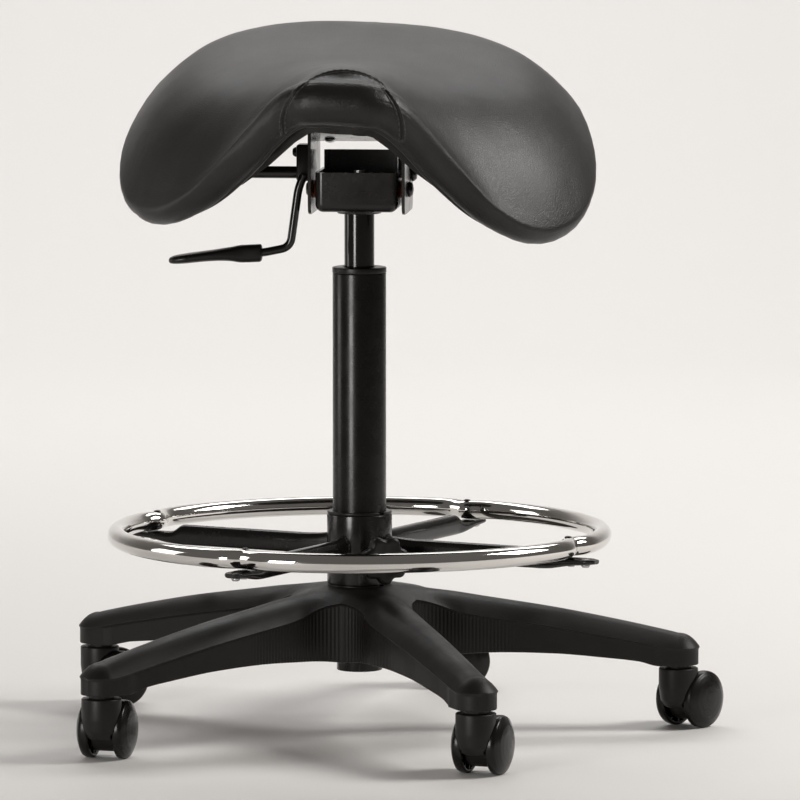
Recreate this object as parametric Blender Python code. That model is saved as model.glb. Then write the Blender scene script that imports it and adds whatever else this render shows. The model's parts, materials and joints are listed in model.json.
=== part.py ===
"""Saddle-seat drafting stool: five-star caster base, gas column, foot ring, tilting saddle seat.

Metres, +Z up, floor at z = 0.  Everything is laid out about the column's axis; one root empty
then moves the whole stool so that its bounding box is centred on the origin.
"""
import math

import bmesh
import bpy
from mathutils import Matrix, Vector
from mathutils.bvhtree import BVHTree

# ---------------------------------------------------------------- overall layout
GAP = 0.0003                    # clearance left between separate touching pieces
AXIS_X = -0.0361                # column axis, measured from the centre of the bounding box
AXIS_Y = -0.0091
SEAT_YAW = math.radians(-5.0)   # the seat and its mechanism are turned on the column

# ---------------------------------------------------------------- star base
ARM_COUNT = 5
ARM_START = math.radians(2.7)
ARM_STEM_R = 0.300              # caster stem radius from the column axis
ARM_DRAWN_R = 0.300             # stem radius for which the arm's height and width tables are drawn
ARM_DRAWN_FROM = 0.080          # inside this radius the tables don't stretch
ARM_TIP_W = 0.0200              # half width, also the nose radius
ARM_ROOT_W = 0.0330
HUB_TOP = 0.1365
HUB_LOW = 0.0700
VALLEY_R = 0.0560
TIP_LOW = 0.0612
LIP = 0.0018                    # the crown overhangs the side walls by this
WALL = 0.0035
SOCKET_R = 0.0056
SOCKET_DEPTH = 0.0200

# ---------------------------------------------------------------- casters
WHEEL_R = 0.0270
WHEEL_IN = 0.0116               # inner face of a wheel, from the caster's middle plane
WHEEL_OUT = 0.0200              # shoulder where the tread meets the dome
WHEEL_DOME = 0.0262
CASTER_TRAIL = 0.0180
CASTER_R = 0.0185
CASTER_TOP = 0.0578
CASTER_LOW = 0.0200
CASTER_WEB = 0.0108             # half thickness of the web between the wheels
AXLE_R = 0.0040
STEM_R = SOCKET_R - GAP
CASTER_HEADINGS = (51.0, 8.0, 10.0, 75.5, 68.8)     # degrees, direction of trail, arm by arm

# ---------------------------------------------------------------- column and gas spring
TUBE_R = 0.0250
TUBE_BORE = TUBE_R - 0.0021
TUBE_FOOT_R = 0.0213
TUBE_LOW = 0.0580
TUBE_FOOT_WALL = 0.0022
TUBE_FLOOR = 0.0625             # the foot plate, recessed behind the rolled rim at TUBE_LOW
TUBE_FLOOR_T = 0.0030
ROD_LOW = 0.0590                # the rod end stays just inside that rim
TUBE_TAPER = 0.0900
TUBE_TOP = 0.4310
CAP_R = TUBE_R + 0.0003
CAP_TOP = 0.4370
CAP_LOW = 0.3620
GAS_R = 0.0140
GAS_LOW = 0.1150
GAS_SHOULDER = 0.4860
GAS_TOP = 0.5220
ROD_R = 0.0050
ROD_TOP = 0.3600

# ---------------------------------------------------------------- foot ring
RING_R = 0.2270
RING_TUBE = 0.0090
RING_Z = 0.1860
RING_DIP = 0.0075               # how far the tube dips inward over each spoke
RING_DIP_ANGLE = math.radians(3.6)
SPOKE_COUNT = 4
SPOKE_START = math.radians(62.0)
SPOKE_DROP = 0.0020             # spoke top below the ring's centre line
SPOKE_DEEP = 0.0195
SPOKE_W = 0.0072
SPOKE_END = RING_R + 0.0210
SLEEVE_R = TUBE_R + 0.0035
SLEEVE_LOW = 0.1375
SLEEVE_TOP = 0.2080
SLEEVE_FLANGE = SLEEVE_R + 0.0017
SLEEVE_SLOT = math.radians(12.0)
COLLAR_R = SLEEVE_R + 0.0019
COLLAR_LOW = 0.1402
COLLAR_TOP = 0.2053
KNOB_AZ = math.radians(-70.0)
KNOB_Z = 0.1690
KNOB_R = 0.0232
KNOB_IN = COLLAR_R + 0.0171
KNOB_OUT = KNOB_IN + 0.0285
KNOB_LOBES = 7

# ---------------------------------------------------------------- tilt mechanism
PIVOT_Y = 0.0040
PIVOT_Z = 0.5090
TILT = math.radians(-11.0)      # front of the seat plate is up by this much
PAN_X = 0.0385
PAN_FRONT = -0.0340
PAN_BACK = 0.0520
PAN_LOW = 0.4895
PAN_TOP = 0.5265
PAN_BACK_TOP = 0.5430
PAN_T = 0.0030
BOSS_R = GAS_R + 0.0068
BOSS_LOW = 0.4866
PLATE_X = PAN_X + 0.0067
PLATE_T = 0.0030
PLATE_UNDER = 0.5625            # underside of the seat plate over the pivot
PLATE_FRONT = PLATE_X - 0.0872   # a wider plate stops further back: the shell narrows forward
PLATE_BACK = 0.0640
FLANGE_LOW = 0.4870
PLATE_HOLE_R = 0.0095
PLATE_HOLE_Y = 0.0170
LOCK_Y = 0.0420
LOCK_Z = 0.5215
BLOCK_X = PLATE_X + 0.0128
BLOCK_LOW = 0.5170
BLOCK_TOP = 0.5510
BLOCK_Y = 0.0110
BLOCK_BOLT_Z = 0.5435
TILT_ROD_OUT = 0.0790           # how far the tilt lever stands out of its block
PADDLE_OUT = 0.0315             # where the height lever's paddle starts, out from the block
TILT_ROD_R = 0.0057
TILT_ROD_Z = 0.5245
LIFT_ROD_R = 0.0039
LEVER_Y = -0.0169               # the height lever hangs just in front of its block

# ---------------------------------------------------------------- saddle seat
SEAT_ROLL = math.radians(2.6)   # the cushion sits a little low on its right side
SEAT_SHIFT = -0.0045            # and a little left of the column
SEAT_HALF_W = 0.2180            # widest point of the rim
PAD_T = 0.0400                  # padding over the shell at the middle
SHELL_T = 0.0090
SHELL_GAP = 0.0009              # padding to shell, square to the faceted sheet
# half of the rim seen from above and from the side, front middle to rear middle: x, y, z
RIM = (
    (0.000, -0.172, 0.605), (0.030, -0.170, 0.604), (0.054, -0.157, 0.595),
    (0.077, -0.137, 0.570), (0.106, -0.112, 0.532), (0.140, -0.085, 0.496),
    (0.176, -0.050, 0.477), (0.205, -0.006, 0.484), (0.218, 0.042, 0.511),
    (0.214, 0.088, 0.546), (0.193, 0.130, 0.584), (0.151, 0.162, 0.611),
    (0.101, 0.180, 0.628), (0.050, 0.188, 0.636), (0.000, 0.190, 0.639),
)
# where each of those ribs leaves the seat's centre line: y, z
SPINE = (
    (-0.128, 0.629), (-0.122, 0.6295), (-0.112, 0.630), (-0.098, 0.630), (-0.080, 0.630),
    (-0.060, 0.630), (-0.036, 0.631), (-0.010, 0.633), (0.018, 0.636), (0.046, 0.640),
    (0.074, 0.645), (0.098, 0.650), (0.118, 0.654), (0.132, 0.656), (0.140, 0.657),
)
# padding thickness at the rim, rib by rib
RIM_THICK = (0.041, 0.040, 0.036, 0.031, 0.029, 0.028, 0.028, 0.028, 0.029, 0.030,
             0.031, 0.032, 0.033, 0.034, 0.034)
# how steeply the top runs down into the rim, in radians below level
RIM_LEAN = (0.12, 0.14, 0.30, 0.62, 0.95, 1.10, 1.18, 1.20, 1.12, 0.98, 0.80, 0.62, 0.48,
            0.42, 0.40)


# ================================================================ helpers
def clear_scene():
    for obj in list(bpy.data.objects):
        bpy.data.objects.remove(obj, do_unlink=True)


def principled(name, color, roughness, metallic=0.0, coat=0.0):
    mat = bpy.data.materials.new(name)
    mat.use_nodes = True
    shader = next(n for n in mat.node_tree.nodes if n.type == "BSDF_PRINCIPLED")
    shader.inputs["Base Color"].default_value = (*color, 1.0)
    shader.inputs["Roughness"].default_value = roughness
    shader.inputs["Metallic"].default_value = metallic
    shader.inputs["Coat Weight"].default_value = coat
    mat.diffuse_color = (*color, 1.0)
    return mat


def empty(name, origin, parent=None, rotation=(0.0, 0.0, 0.0)):
    obj = bpy.data.objects.new(name, None)
    bpy.context.scene.collection.objects.link(obj)
    obj.parent = parent
    obj.location = origin
    obj.rotation_euler = rotation
    return obj


def finish(name, bm, mat, parent, origin=(0.0, 0.0, 0.0), sharp=35.0):
    """Turns a bmesh into a named object whose origin is at `origin` in its parent's space."""
    bmesh.ops.remove_doubles(bm, verts=bm.verts, dist=0.00001)
    bmesh.ops.recalc_face_normals(bm, faces=bm.faces)
    bmesh.ops.translate(bm, verts=bm.verts, vec=-Vector(origin))
    mesh = bpy.data.meshes.new(name)
    bm.to_mesh(mesh)
    bm.free()
    for poly in mesh.polygons:
        poly.use_smooth = True
    mesh.set_sharp_from_angle(angle=math.radians(sharp))
    mesh.materials.append(mat)
    obj = bpy.data.objects.new(name, mesh)
    bpy.context.scene.collection.objects.link(obj)
    obj.parent = parent
    obj.location = origin
    return obj


def add_grid(bm, rows, close_rows=False, close_cols=False):
    """Faces between rows of vertices, optionally wrapping round either way."""
    n, m = len(rows), len(rows[0])
    for i in range(n if close_rows else n - 1):
        a, b = rows[i], rows[(i + 1) % n]
        for j in range(m if close_cols else m - 1):
            k = (j + 1) % m
            quad = []
            for v in (a[j], a[k], b[k], b[j]):
                if v not in quad:
                    quad.append(v)
            if len(quad) > 2:
                bm.faces.new(quad)


def lathe(profile, segments, matrix=None, phase=0.0):
    """Closed body turned about Z from (radius, z) points; ends on the axis become poles."""
    bm = bmesh.new()
    cols = []
    for i in range(segments):
        a = phase + 2.0 * math.pi * i / segments
        cols.append([(r * math.cos(a), r * math.sin(a), z) for r, z in profile])
    poles = {j: bm.verts.new((0.0, 0.0, z)) for j, (r, z) in enumerate(profile) if r == 0.0}
    rows = [[poles[j] if j in poles else bm.verts.new(p) for j, p in enumerate(col)] for col in cols]
    closed = not poles
    if closed:
        rows = [row + [row[0]] for row in rows]
    add_grid(bm, rows, close_rows=True)
    if matrix is not None:
        bm.transform(matrix)
    return bm


def split_lathe(profile, segments, start, end):
    """A turned body that stops short of a full turn, so that it has a slot down one side."""
    bm = bmesh.new()
    rows = []
    for i in range(segments + 1):
        a = start + (end - start) * i / segments
        rows.append([bm.verts.new((r * math.cos(a), r * math.sin(a), z)) for r, z in profile])
    add_grid(bm, rows, close_cols=True)
    bm.faces.new(rows[0])
    bm.faces.new(list(reversed(rows[-1])))
    return bm


def loft(loops, matrix=None):
    """Closed body through equal loops of points, capped at both ends."""
    bm = bmesh.new()
    rows = [[bm.verts.new(p) for p in loop] for loop in loops]
    add_grid(bm, rows, close_cols=True)
    bm.faces.new(rows[0])
    bm.faces.new(list(reversed(rows[-1])))
    if matrix is not None:
        bm.transform(matrix)
    return bm


def superellipse(cx, cy, half_w, half_h, power, count):
    """Points of a rounded rectangle about (cx, cy)."""
    pts = []
    for i in range(count):
        a = 2.0 * math.pi * (i + 0.5) / count
        c, s = math.cos(a), math.sin(a)
        e = 2.0 / power
        pts.append((cx + half_w * math.copysign(abs(c) ** e, c),
                    cy + half_h * math.copysign(abs(s) ** e, s)))
    return pts


def sweep(path, radii, sides, closed=False, squash=1.0):
    """Round bar along a path; `radii` is one radius or one per point."""
    pts = [Vector(p) for p in path]
    n = len(pts)
    if not isinstance(radii, (list, tuple)):
        radii = [radii] * n
    bm = bmesh.new()
    rows = []
    normal = None
    for i, p in enumerate(pts):
        before = pts[(i - 1) % n] if closed or i else pts[0]
        after = pts[(i + 1) % n] if closed or i < n - 1 else pts[-1]
        tangent = (after - before).normalized()
        if normal is None:
            seed = Vector((0, 0, 1)) if abs(tangent.z) < 0.9 else Vector((0, 1, 0))
            normal = (seed - tangent * seed.dot(tangent)).normalized()
        else:
            normal = (normal - tangent * normal.dot(tangent)).normalized()
        side = tangent.cross(normal)
        row = []
        for k in range(sides):
            a = 2.0 * math.pi * k / sides
            row.append(bm.verts.new(p + normal * (math.cos(a) * radii[i] * squash)
                                    + side * (math.sin(a) * radii[i])))
        rows.append(row)
    add_grid(bm, rows, close_rows=closed, close_cols=True)
    if not closed:
        bm.faces.new(rows[0])
        bm.faces.new(list(reversed(rows[-1])))
    return bm


def rounded_path(corners, radius, steps=4):
    """A polyline whose inner corners are replaced with arcs."""
    pts = [Vector(c) for c in corners]
    out = [pts[0]]
    for i in range(1, len(pts) - 1):
        a, b, c = pts[i - 1], pts[i], pts[i + 1]
        u, v = (a - b).normalized(), (c - b).normalized()
        start, end = b + u * radius, b + v * radius
        for k in range(steps + 1):
            t = k / steps
            out.append(start * (1 - t) ** 2 + b * (2 * t * (1 - t)) + end * t ** 2)
    out.append(pts[-1])
    return out


def box(low, high, bevel=0.0, segments=2):
    bm = bmesh.new()
    bmesh.ops.create_cube(bm, size=1.0)
    size = Vector(high) - Vector(low)
    mid = (Vector(high) + Vector(low)) / 2
    bm.transform(Matrix.Translation(mid) @ Matrix.Diagonal((*size, 1.0)))
    if bevel:
        bmesh.ops.bevel(bm, geom=bm.edges[:], offset=bevel, segments=segments, profile=0.5,
                        affect="EDGES")
    return bm


def combine(base, others, operation):
    """Exact boolean of one bmesh with others; all of them are used up."""
    holders = []
    for i, bm in enumerate([base] + others):
        bmesh.ops.recalc_face_normals(bm, faces=bm.faces)
        mesh = bpy.data.meshes.new("operand")
        bm.to_mesh(mesh)
        bm.free()
        obj = bpy.data.objects.new("operand", mesh)
        bpy.context.scene.collection.objects.link(obj)
        holders.append(obj)
    for other in holders[1:]:
        mod = holders[0].modifiers.new("cut", "BOOLEAN")
        mod.solver = "EXACT"
        mod.operation = operation
        mod.object = other
    graph = bpy.context.evaluated_depsgraph_get()
    result = bmesh.new()
    result.from_mesh(holders[0].evaluated_get(graph).to_mesh())
    for obj in holders:
        mesh = obj.data
        bpy.data.objects.remove(obj, do_unlink=True)
        bpy.data.meshes.remove(mesh)
    bmesh.ops.remove_doubles(result, verts=result.verts, dist=0.00001)
    bmesh.ops.dissolve_degenerate(result, edges=result.edges, dist=0.00001)
    return result


def along_x(x=0.0, y=0.0, z=0.0):
    """Turns a body made about Z so that it lies about X."""
    return Matrix.Translation((x, y, z)) @ Matrix.Rotation(math.pi / 2, 4, "Y")


def along_y(x=0.0, y=0.0, z=0.0):
    return Matrix.Translation((x, y, z)) @ Matrix.Rotation(-math.pi / 2, 4, "X")


def lerp_table(table, x):
    """Straight-line reading of (x, value) pairs."""
    if x <= table[0][0]:
        return table[0][1]
    for (x0, y0), (x1, y1) in zip(table, table[1:]):
        if x <= x1:
            return y0 + (y1 - y0) * (x - x0) / (x1 - x0)
    return table[-1][1]


# ================================================================ materials
def make_materials():
    return {
        "base_nylon": principled("base_nylon", (0.030, 0.028, 0.026), 0.55),
        "caster_nylon": principled("caster_nylon", (0.030, 0.028, 0.027), 0.50),
        "wheel_nylon": principled("wheel_nylon", (0.026, 0.025, 0.024), 0.35),
        "steel_pin": principled("steel_pin", (0.55, 0.55, 0.56), 0.30, 1.0),
        "column_paint": principled("column_paint", (0.022, 0.021, 0.020), 0.38),
        "gas_gloss": principled("gas_gloss", (0.018, 0.017, 0.017), 0.18, 0.0, 0.6),
        "black_plastic": principled("black_plastic", (0.028, 0.027, 0.026), 0.45),
        "chrome": principled("chrome", (0.80, 0.79, 0.77), 0.07, 1.0),
        "spoke_paint": principled("spoke_paint", (0.025, 0.024, 0.023), 0.32),
        "bracket_paint": principled("bracket_paint", (0.030, 0.027, 0.025), 0.35),
        "orange_nylon": principled("orange_nylon", (0.55, 0.12, 0.03), 0.45),
        "rod_paint": principled("rod_paint", (0.022, 0.020, 0.019), 0.25),
        "grip_plastic": principled("grip_plastic", (0.026, 0.025, 0.025), 0.40),
        "seat_vinyl": principled("seat_vinyl", (0.032, 0.029, 0.027), 0.42),
        "shell_ply": principled("shell_ply", (0.030, 0.027, 0.025), 0.65),
    }


# ================================================================ star base
def drawn(r):
    """Radius in the arm's tables that stands for radius r on an arm of this length."""
    if r <= ARM_DRAWN_FROM:
        return r
    if r >= ARM_STEM_R:
        return ARM_DRAWN_R + r - ARM_STEM_R
    return ARM_DRAWN_FROM + (r - ARM_DRAWN_FROM) * (ARM_DRAWN_R - ARM_DRAWN_FROM) / (
        ARM_STEM_R - ARM_DRAWN_FROM)


def reach(d):
    """The other way: radius on this arm for a radius in the tables."""
    if d <= ARM_DRAWN_FROM:
        return d
    if d >= ARM_DRAWN_R:
        return ARM_STEM_R + d - ARM_DRAWN_R
    return ARM_DRAWN_FROM + (d - ARM_DRAWN_FROM) * (ARM_STEM_R - ARM_DRAWN_FROM) / (
        ARM_DRAWN_R - ARM_DRAWN_FROM)


def arm_top(r):
    """Height of an arm's ridge at radius r."""
    return lerp_table(((0.0, HUB_TOP), (0.040, HUB_TOP), (0.080, 0.1325), (0.120, 0.1262),
                       (0.180, 0.1165), (0.240, 0.1045), (0.280, 0.0955), (0.300, 0.0905),
                       (0.312, 0.0862), (0.320, 0.0800)), drawn(r))


def arm_crown(r):
    """How far the crown falls from the ridge to its lip."""
    return lerp_table(((0.030, 0.0150), (0.080, 0.0160), (0.180, 0.0165), (0.280, 0.0150),
                       (0.305, 0.0120), (0.320, 0.0030)), drawn(r))


def arm_low(r):
    """Lower edge of an arm."""
    return lerp_table(((0.035, HUB_LOW), (0.070, 0.0735), (0.130, 0.0758), (0.180, 0.0742),
                       (0.230, 0.0695), (0.262, 0.0655), (0.279, TIP_LOW), (0.330, TIP_LOW)), drawn(r))


def arm_half(r):
    """Half width of an arm's crown, with the round nose about the stem."""
    if r > ARM_STEM_R:
        return math.sqrt(max(ARM_TIP_W ** 2 - (r - ARM_STEM_R) ** 2, 0.0))
    return lerp_table(((VALLEY_R, ARM_ROOT_W), (0.100, 0.0268), (0.160, 0.0238),
                       (0.230, 0.0212), (0.280, ARM_TIP_W), (0.300, ARM_TIP_W)), drawn(r))


def star_points(stations, laterals, rings):
    """Plan of the star: rings of the hub disc, then cross rows out along each arm."""
    half_sector = math.pi / ARM_COUNT
    hub, arms = [], []
    for r in rings:
        row = []
        for arm in range(ARM_COUNT):
            for u in laterals[:-1]:
                row.append((arm, u, r, half_sector * u))
        hub.append(row)
    for arm in range(ARM_COUNT):
        arms.append([[(arm, u, r) for u in laterals] for r in stations])
    return hub, arms


def star_xy(arm, along, across):
    a = ARM_START + 2.0 * math.pi * arm / ARM_COUNT
    c, s = math.cos(a), math.sin(a)
    return along * c - across * s, along * s + across * c


def star_sheet(bm, stations, laterals, rings, inset, height):
    """One side of the star.  Returns its rim, arm by arm, going round anticlockwise."""
    hub, arms = star_points(stations, laterals, rings)
    rows = []
    for row in hub:
        verts = []
        for arm, u, r, angle in row:
            x, y = star_xy(arm, r * math.cos(angle), r * math.sin(angle))
            closeness = abs(u) * ((r - rings[0]) / (rings[-1] - rings[0])) ** 1.4
            verts.append(bm.verts.new((x, y, height(r, closeness))))
        rows.append(verts)
    add_grid(bm, rows, close_cols=True)
    m = len(laterals) - 1
    rim = []
    for arm in range(ARM_COUNT):
        last = [rows[-1][(arm * m + k) % (ARM_COUNT * m)] for k in range(m + 1)]
        lines = [last]
        for cells in arms[arm]:
            line = []
            for _, u, r in cells:
                side = max(arm_half(r) - inset(r), 0.0012)
                bulge = VALLEY_R * 0.16 * (1.0 - u * u) * max(0.0, 1.0 - (r - VALLEY_R) / 0.05)
                x, y = star_xy(arm, r + bulge, side * u)
                line.append(bm.verts.new((x, y, height(r, abs(u)))))
            lines.append(line)
        add_grid(bm, lines)
        rim += [line[0] for line in lines[:-1]] + lines[-1] + [line[-1] for line in lines[-2:0:-1]]
    return rows[0], rim


def star_solid():
    """Crowned five-arm shell, hollow and ribbed below, solid round the hub and the sockets."""
    half = math.pi / ARM_COUNT
    top_rings = (TUBE_R + 0.0006, 0.042, VALLEY_R / math.cos(half) * 0.92)
    stations = [reach(d) for d in (0.078, 0.110, 0.165, 0.225, 0.2785, 0.300)]
    stations += [ARM_STEM_R + ARM_TIP_W * share for share in (0.55, 0.875, 0.995)]
    laterals = (-1.0, -0.84, -0.5, 0.0, 0.5, 0.84, 1.0)
    bm = bmesh.new()

    def crown(r, near_edge):
        return arm_top(r) - arm_crown(r) * near_edge ** 2.3

    def inset_none(_r):
        return 0.0

    def wall_inset(r):
        return LIP if drawn(r) < 0.277 else 0.0006

    top_inner, top_rim = star_sheet(bm, stations, laterals, top_rings, inset_none, crown)

    def low(r, _near_edge):
        return arm_low(r)

    low_inner, low_rim = star_sheet(bm, stations, laterals, top_rings, wall_inset, low)
    mid = []
    for a, b in zip(top_rim, low_rim):
        z = a.co.z - 0.0028
        mid.append(bm.verts.new((b.co.x, b.co.y, max(z, b.co.z + 0.001))))
    add_grid(bm, [top_rim, mid, low_rim], close_cols=True)
    add_grid(bm, [top_inner, low_inner], close_cols=True)
    return bm


def arm_pocket(arm, r0, r1):
    """Hollow under an arm between two of its cross ribs."""
    loops = []
    for depth, shrink in ((-0.004, 0.0), (0.6, 0.0006), (1.0, 0.0016)):
        loop = []
        for r, sign in ((r0, -1), (r1, -1), (r1, 1), (r0, 1)):
            pull = shrink if r == r0 else -shrink
            side = arm_half(r) - LIP - WALL - shrink
            x, y = star_xy(arm, r + pull, sign * side)
            ceiling = arm_top(r) - arm_crown(r) - 0.001
            floor = arm_low(r)
            z = floor - 0.004 if depth < 0 else floor + (ceiling - floor) * depth
            loop.append((x, y, z))
        loops.append(loop)
    return loft(loops)


def build_star(mat, parent):
    body = star_solid()
    bore = lathe(((0.0, TUBE_LOW - 0.02), (TUBE_FOOT_R + GAP, TUBE_LOW - 0.02),
                  (TUBE_FOOT_R + GAP, HUB_LOW + 0.004), (TUBE_R + GAP, TUBE_TAPER),
                  (TUBE_R + GAP, HUB_TOP + 0.02), (0.0, HUB_TOP + 0.02)), 40)
    cuts = [bore]
    for arm in range(ARM_COUNT):
        for d0, d1 in ((0.050, 0.108), (0.1115, 0.188), (0.1915, 0.272)):
            cuts.append(arm_pocket(arm, reach(d0), reach(d1)))
        x, y = star_xy(arm, ARM_STEM_R, 0.0)
        cuts.append(lathe(((0.0, TIP_LOW - 0.01), (SOCKET_R, TIP_LOW - 0.01),
                           (SOCKET_R, TIP_LOW + SOCKET_DEPTH), (0.0, TIP_LOW + SOCKET_DEPTH)), 12,
                          Matrix.Translation((x, y, 0.0))))
    return finish("star_base", combine(body, cuts, "DIFFERENCE"), mat, parent, sharp=32.0)


# ================================================================ casters
def caster_housing():
    """Vertical barrel with a web between the wheels, cut away to clear them."""
    t = CASTER_TRAIL
    barrel = lathe(((0.0, CASTER_LOW), (0.0125, CASTER_LOW + 0.0010),
                    (0.0172, CASTER_LOW + 0.0080), (CASTER_R, CASTER_LOW + 0.0190),
                    (CASTER_R, CASTER_TOP - 0.0010), (CASTER_R - 0.0010, CASTER_TOP),
                    (0.0, CASTER_TOP)), 20)
    web = lathe(((0.0, -CASTER_WEB), (0.0200, -CASTER_WEB), (0.0200, CASTER_WEB),
                 (0.0, CASTER_WEB)), 16, along_y(t, 0.0, WHEEL_R), 0.05)
    body = combine(barrel, [web], "UNION")
    cuts = []
    for sign in (-1, 1):
        near, far = sign * (CASTER_WEB + 0.0001), sign * 0.040
        cuts.append(lathe(((0.0, near), (WHEEL_R + 0.0009, near), (WHEEL_R + 0.0009, far),
                           (0.0, far)), 20, along_y(t, 0.0, WHEEL_R)))
    cuts.append(lathe(((0.0, -0.03), (AXLE_R + GAP, -0.03), (AXLE_R + GAP, 0.03), (0.0, 0.03)), 12,
                      along_y(t, 0.0, WHEEL_R)))
    cuts.append(lathe(((0.0, CASTER_TOP - 0.016), (STEM_R + GAP, CASTER_TOP - 0.016),
                       (STEM_R + GAP, CASTER_TOP + 0.01), (0.0, CASTER_TOP + 0.01)), 12))
    return combine(body, cuts, "DIFFERENCE")


def caster_stem():
    """Pin with a collar that keeps a narrow gap between arm and caster."""
    low = CASTER_TOP - 0.0155
    mid = (CASTER_TOP + TIP_LOW) / 2
    top = TIP_LOW + SOCKET_DEPTH - 0.0008
    return lathe(((0.0, low), (STEM_R, low), (STEM_R, CASTER_TOP + GAP),
                  (0.0120, CASTER_TOP + GAP), (0.0120, mid + 0.0013), (STEM_R, mid + 0.0013),
                  (STEM_R, top), (0.0, top)), 12)


def caster_wheel(sign):
    """Domed disc with a blind bore for the axle."""
    profile = ((0.0, 0.0222), (AXLE_R + GAP, 0.0222), (AXLE_R + GAP, WHEEL_IN),
               (WHEEL_R - 0.0010, WHEEL_IN), (WHEEL_R, WHEEL_IN + 0.0010),
               (WHEEL_R, WHEEL_OUT - 0.0016), (0.0228, 0.0226), (0.0140, 0.0251),
               (0.0, WHEEL_DOME))
    points = [(r, sign * d) for r, d in profile]
    return lathe(points, 24, Matrix.Rotation(-math.pi / 2, 4, "X"))


def build_casters(mats, parent):
    for arm, heading in enumerate(CASTER_HEADINGS):
        x, y = star_xy(arm, ARM_STEM_R, 0.0)
        swivel = empty("caster_%d_swivel" % (arm + 1), (x, y, 0.0), parent,
                       (0.0, 0.0, math.radians(heading)))
        tag = "caster_%d_" % (arm + 1)
        finish(tag + "housing", caster_housing(), mats["caster_nylon"], swivel)
        finish(tag + "stem", caster_stem(), mats["steel_pin"], swivel)
        axle = lathe(((0.0, -0.0218), (AXLE_R, -0.0218), (AXLE_R, 0.0218), (0.0, 0.0218)), 12,
                     along_y(CASTER_TRAIL, 0.0, WHEEL_R))
        finish(tag + "axle", axle, mats["steel_pin"], swivel)
        for side, sign in (("left", 1), ("right", -1)):
            wheel = finish(tag + "wheel_" + side, caster_wheel(sign), mats["wheel_nylon"], swivel)
            wheel.location = (CASTER_TRAIL, 0.0, WHEEL_R)


# ================================================================ column and gas spring
def build_column(mats, parent):
    foot_bore = TUBE_FOOT_R - TUBE_FOOT_WALL
    tube = lathe(((0.0060, TUBE_FLOOR), (foot_bore, TUBE_FLOOR), (foot_bore, TUBE_LOW),
                  (TUBE_FOOT_R, TUBE_LOW),
                  (TUBE_FOOT_R, HUB_LOW + 0.004), (TUBE_R, TUBE_TAPER), (TUBE_R, TUBE_TOP),
                  (TUBE_BORE, TUBE_TOP), (TUBE_BORE, TUBE_TAPER + 0.001),
                  (foot_bore, HUB_LOW + 0.005), (foot_bore, TUBE_FLOOR + TUBE_FLOOR_T),
                  (0.0060, TUBE_FLOOR + TUBE_FLOOR_T)), 36)
    finish("column_tube", tube, mats["column_paint"], parent)
    cap = lathe(((GAS_R + GAP, CAP_LOW), (TUBE_BORE - GAP, CAP_LOW),
                 (TUBE_BORE - GAP, TUBE_TOP + GAP), (CAP_R, TUBE_TOP + GAP),
                 (CAP_R, CAP_TOP - 0.0012), (CAP_R - 0.0012, CAP_TOP), (GAS_R + GAP, CAP_TOP)), 36)
    finish("column_guide_cap", cap, mats["black_plastic"], parent)


def build_gas_spring(mats, swivel, lift):
    rod = lathe(((0.0, ROD_LOW), (ROD_R, ROD_LOW), (ROD_R, ROD_TOP), (0.0, ROD_TOP)), 16)
    finish("piston_rod", rod, mats["steel_pin"], swivel)
    clip_top = TUBE_FLOOR - GAP
    clip = lathe(((ROD_R + GAP, clip_top - 0.0022), (0.0130, clip_top - 0.0022),
                  (0.0130, clip_top), (ROD_R + GAP, clip_top)), 16)
    finish("retaining_clip", clip, mats["steel_pin"], swivel)
    low = TUBE_FLOOR + TUBE_FLOOR_T + GAP
    race = lathe(((ROD_R + GAP, low), (0.0160, low), (0.0160, low + 0.0080),
                  (ROD_R + GAP, low + 0.0080)), 16)
    finish("thrust_bearing", race, mats["steel_pin"], swivel)
    bore = GAS_R - 0.0022
    cylinder = lathe(((0.0, GAS_SHOULDER - 0.02), (bore, GAS_SHOULDER - 0.02),
                      (bore, GAS_LOW + 0.02), (ROD_R + GAP, GAS_LOW + 0.02),
                      (ROD_R + GAP, GAS_LOW), (GAS_R - 0.001, GAS_LOW), (GAS_R, GAS_LOW + 0.001),
                      (GAS_R, GAS_SHOULDER), (GAS_R - 0.0012, GAS_TOP), (0.0, GAS_TOP)), 32)
    finish("gas_cylinder", cylinder, mats["gas_gloss"], lift)
    button = lathe(((0.0, GAS_TOP + GAP), (0.0050, GAS_TOP + GAP), (0.0050, GAS_TOP + 0.0048),
                    (0.0, GAS_TOP + 0.0048)), 12)
    finish("valve_button", button, mats["steel_pin"], lift)


# ================================================================ foot ring
def ring_path():
    angles = []
    for s in range(SPOKE_COUNT):
        base = SPOKE_START + 2.0 * math.pi * s / SPOKE_COUNT
        offsets = [-6.6, -4.4, -2.9, -1.4, 0.0, 1.4, 2.9, 4.4, 6.6]
        offsets += [12.0 + 6.0 * k for k in range(12)]
        angles += [base + math.radians(o) for o in offsets]
    pts = []
    for a in angles:
        dip = 0.0
        for s in range(SPOKE_COUNT):
            base = SPOKE_START + 2.0 * math.pi * s / SPOKE_COUNT
            d = (a - base + math.pi) % (2.0 * math.pi) - math.pi
            dip += RING_DIP * math.exp(-(d / RING_DIP_ANGLE) ** 2)
        r = RING_R - dip
        pts.append((r * math.cos(a), r * math.sin(a), RING_Z))
    return pts


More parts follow.
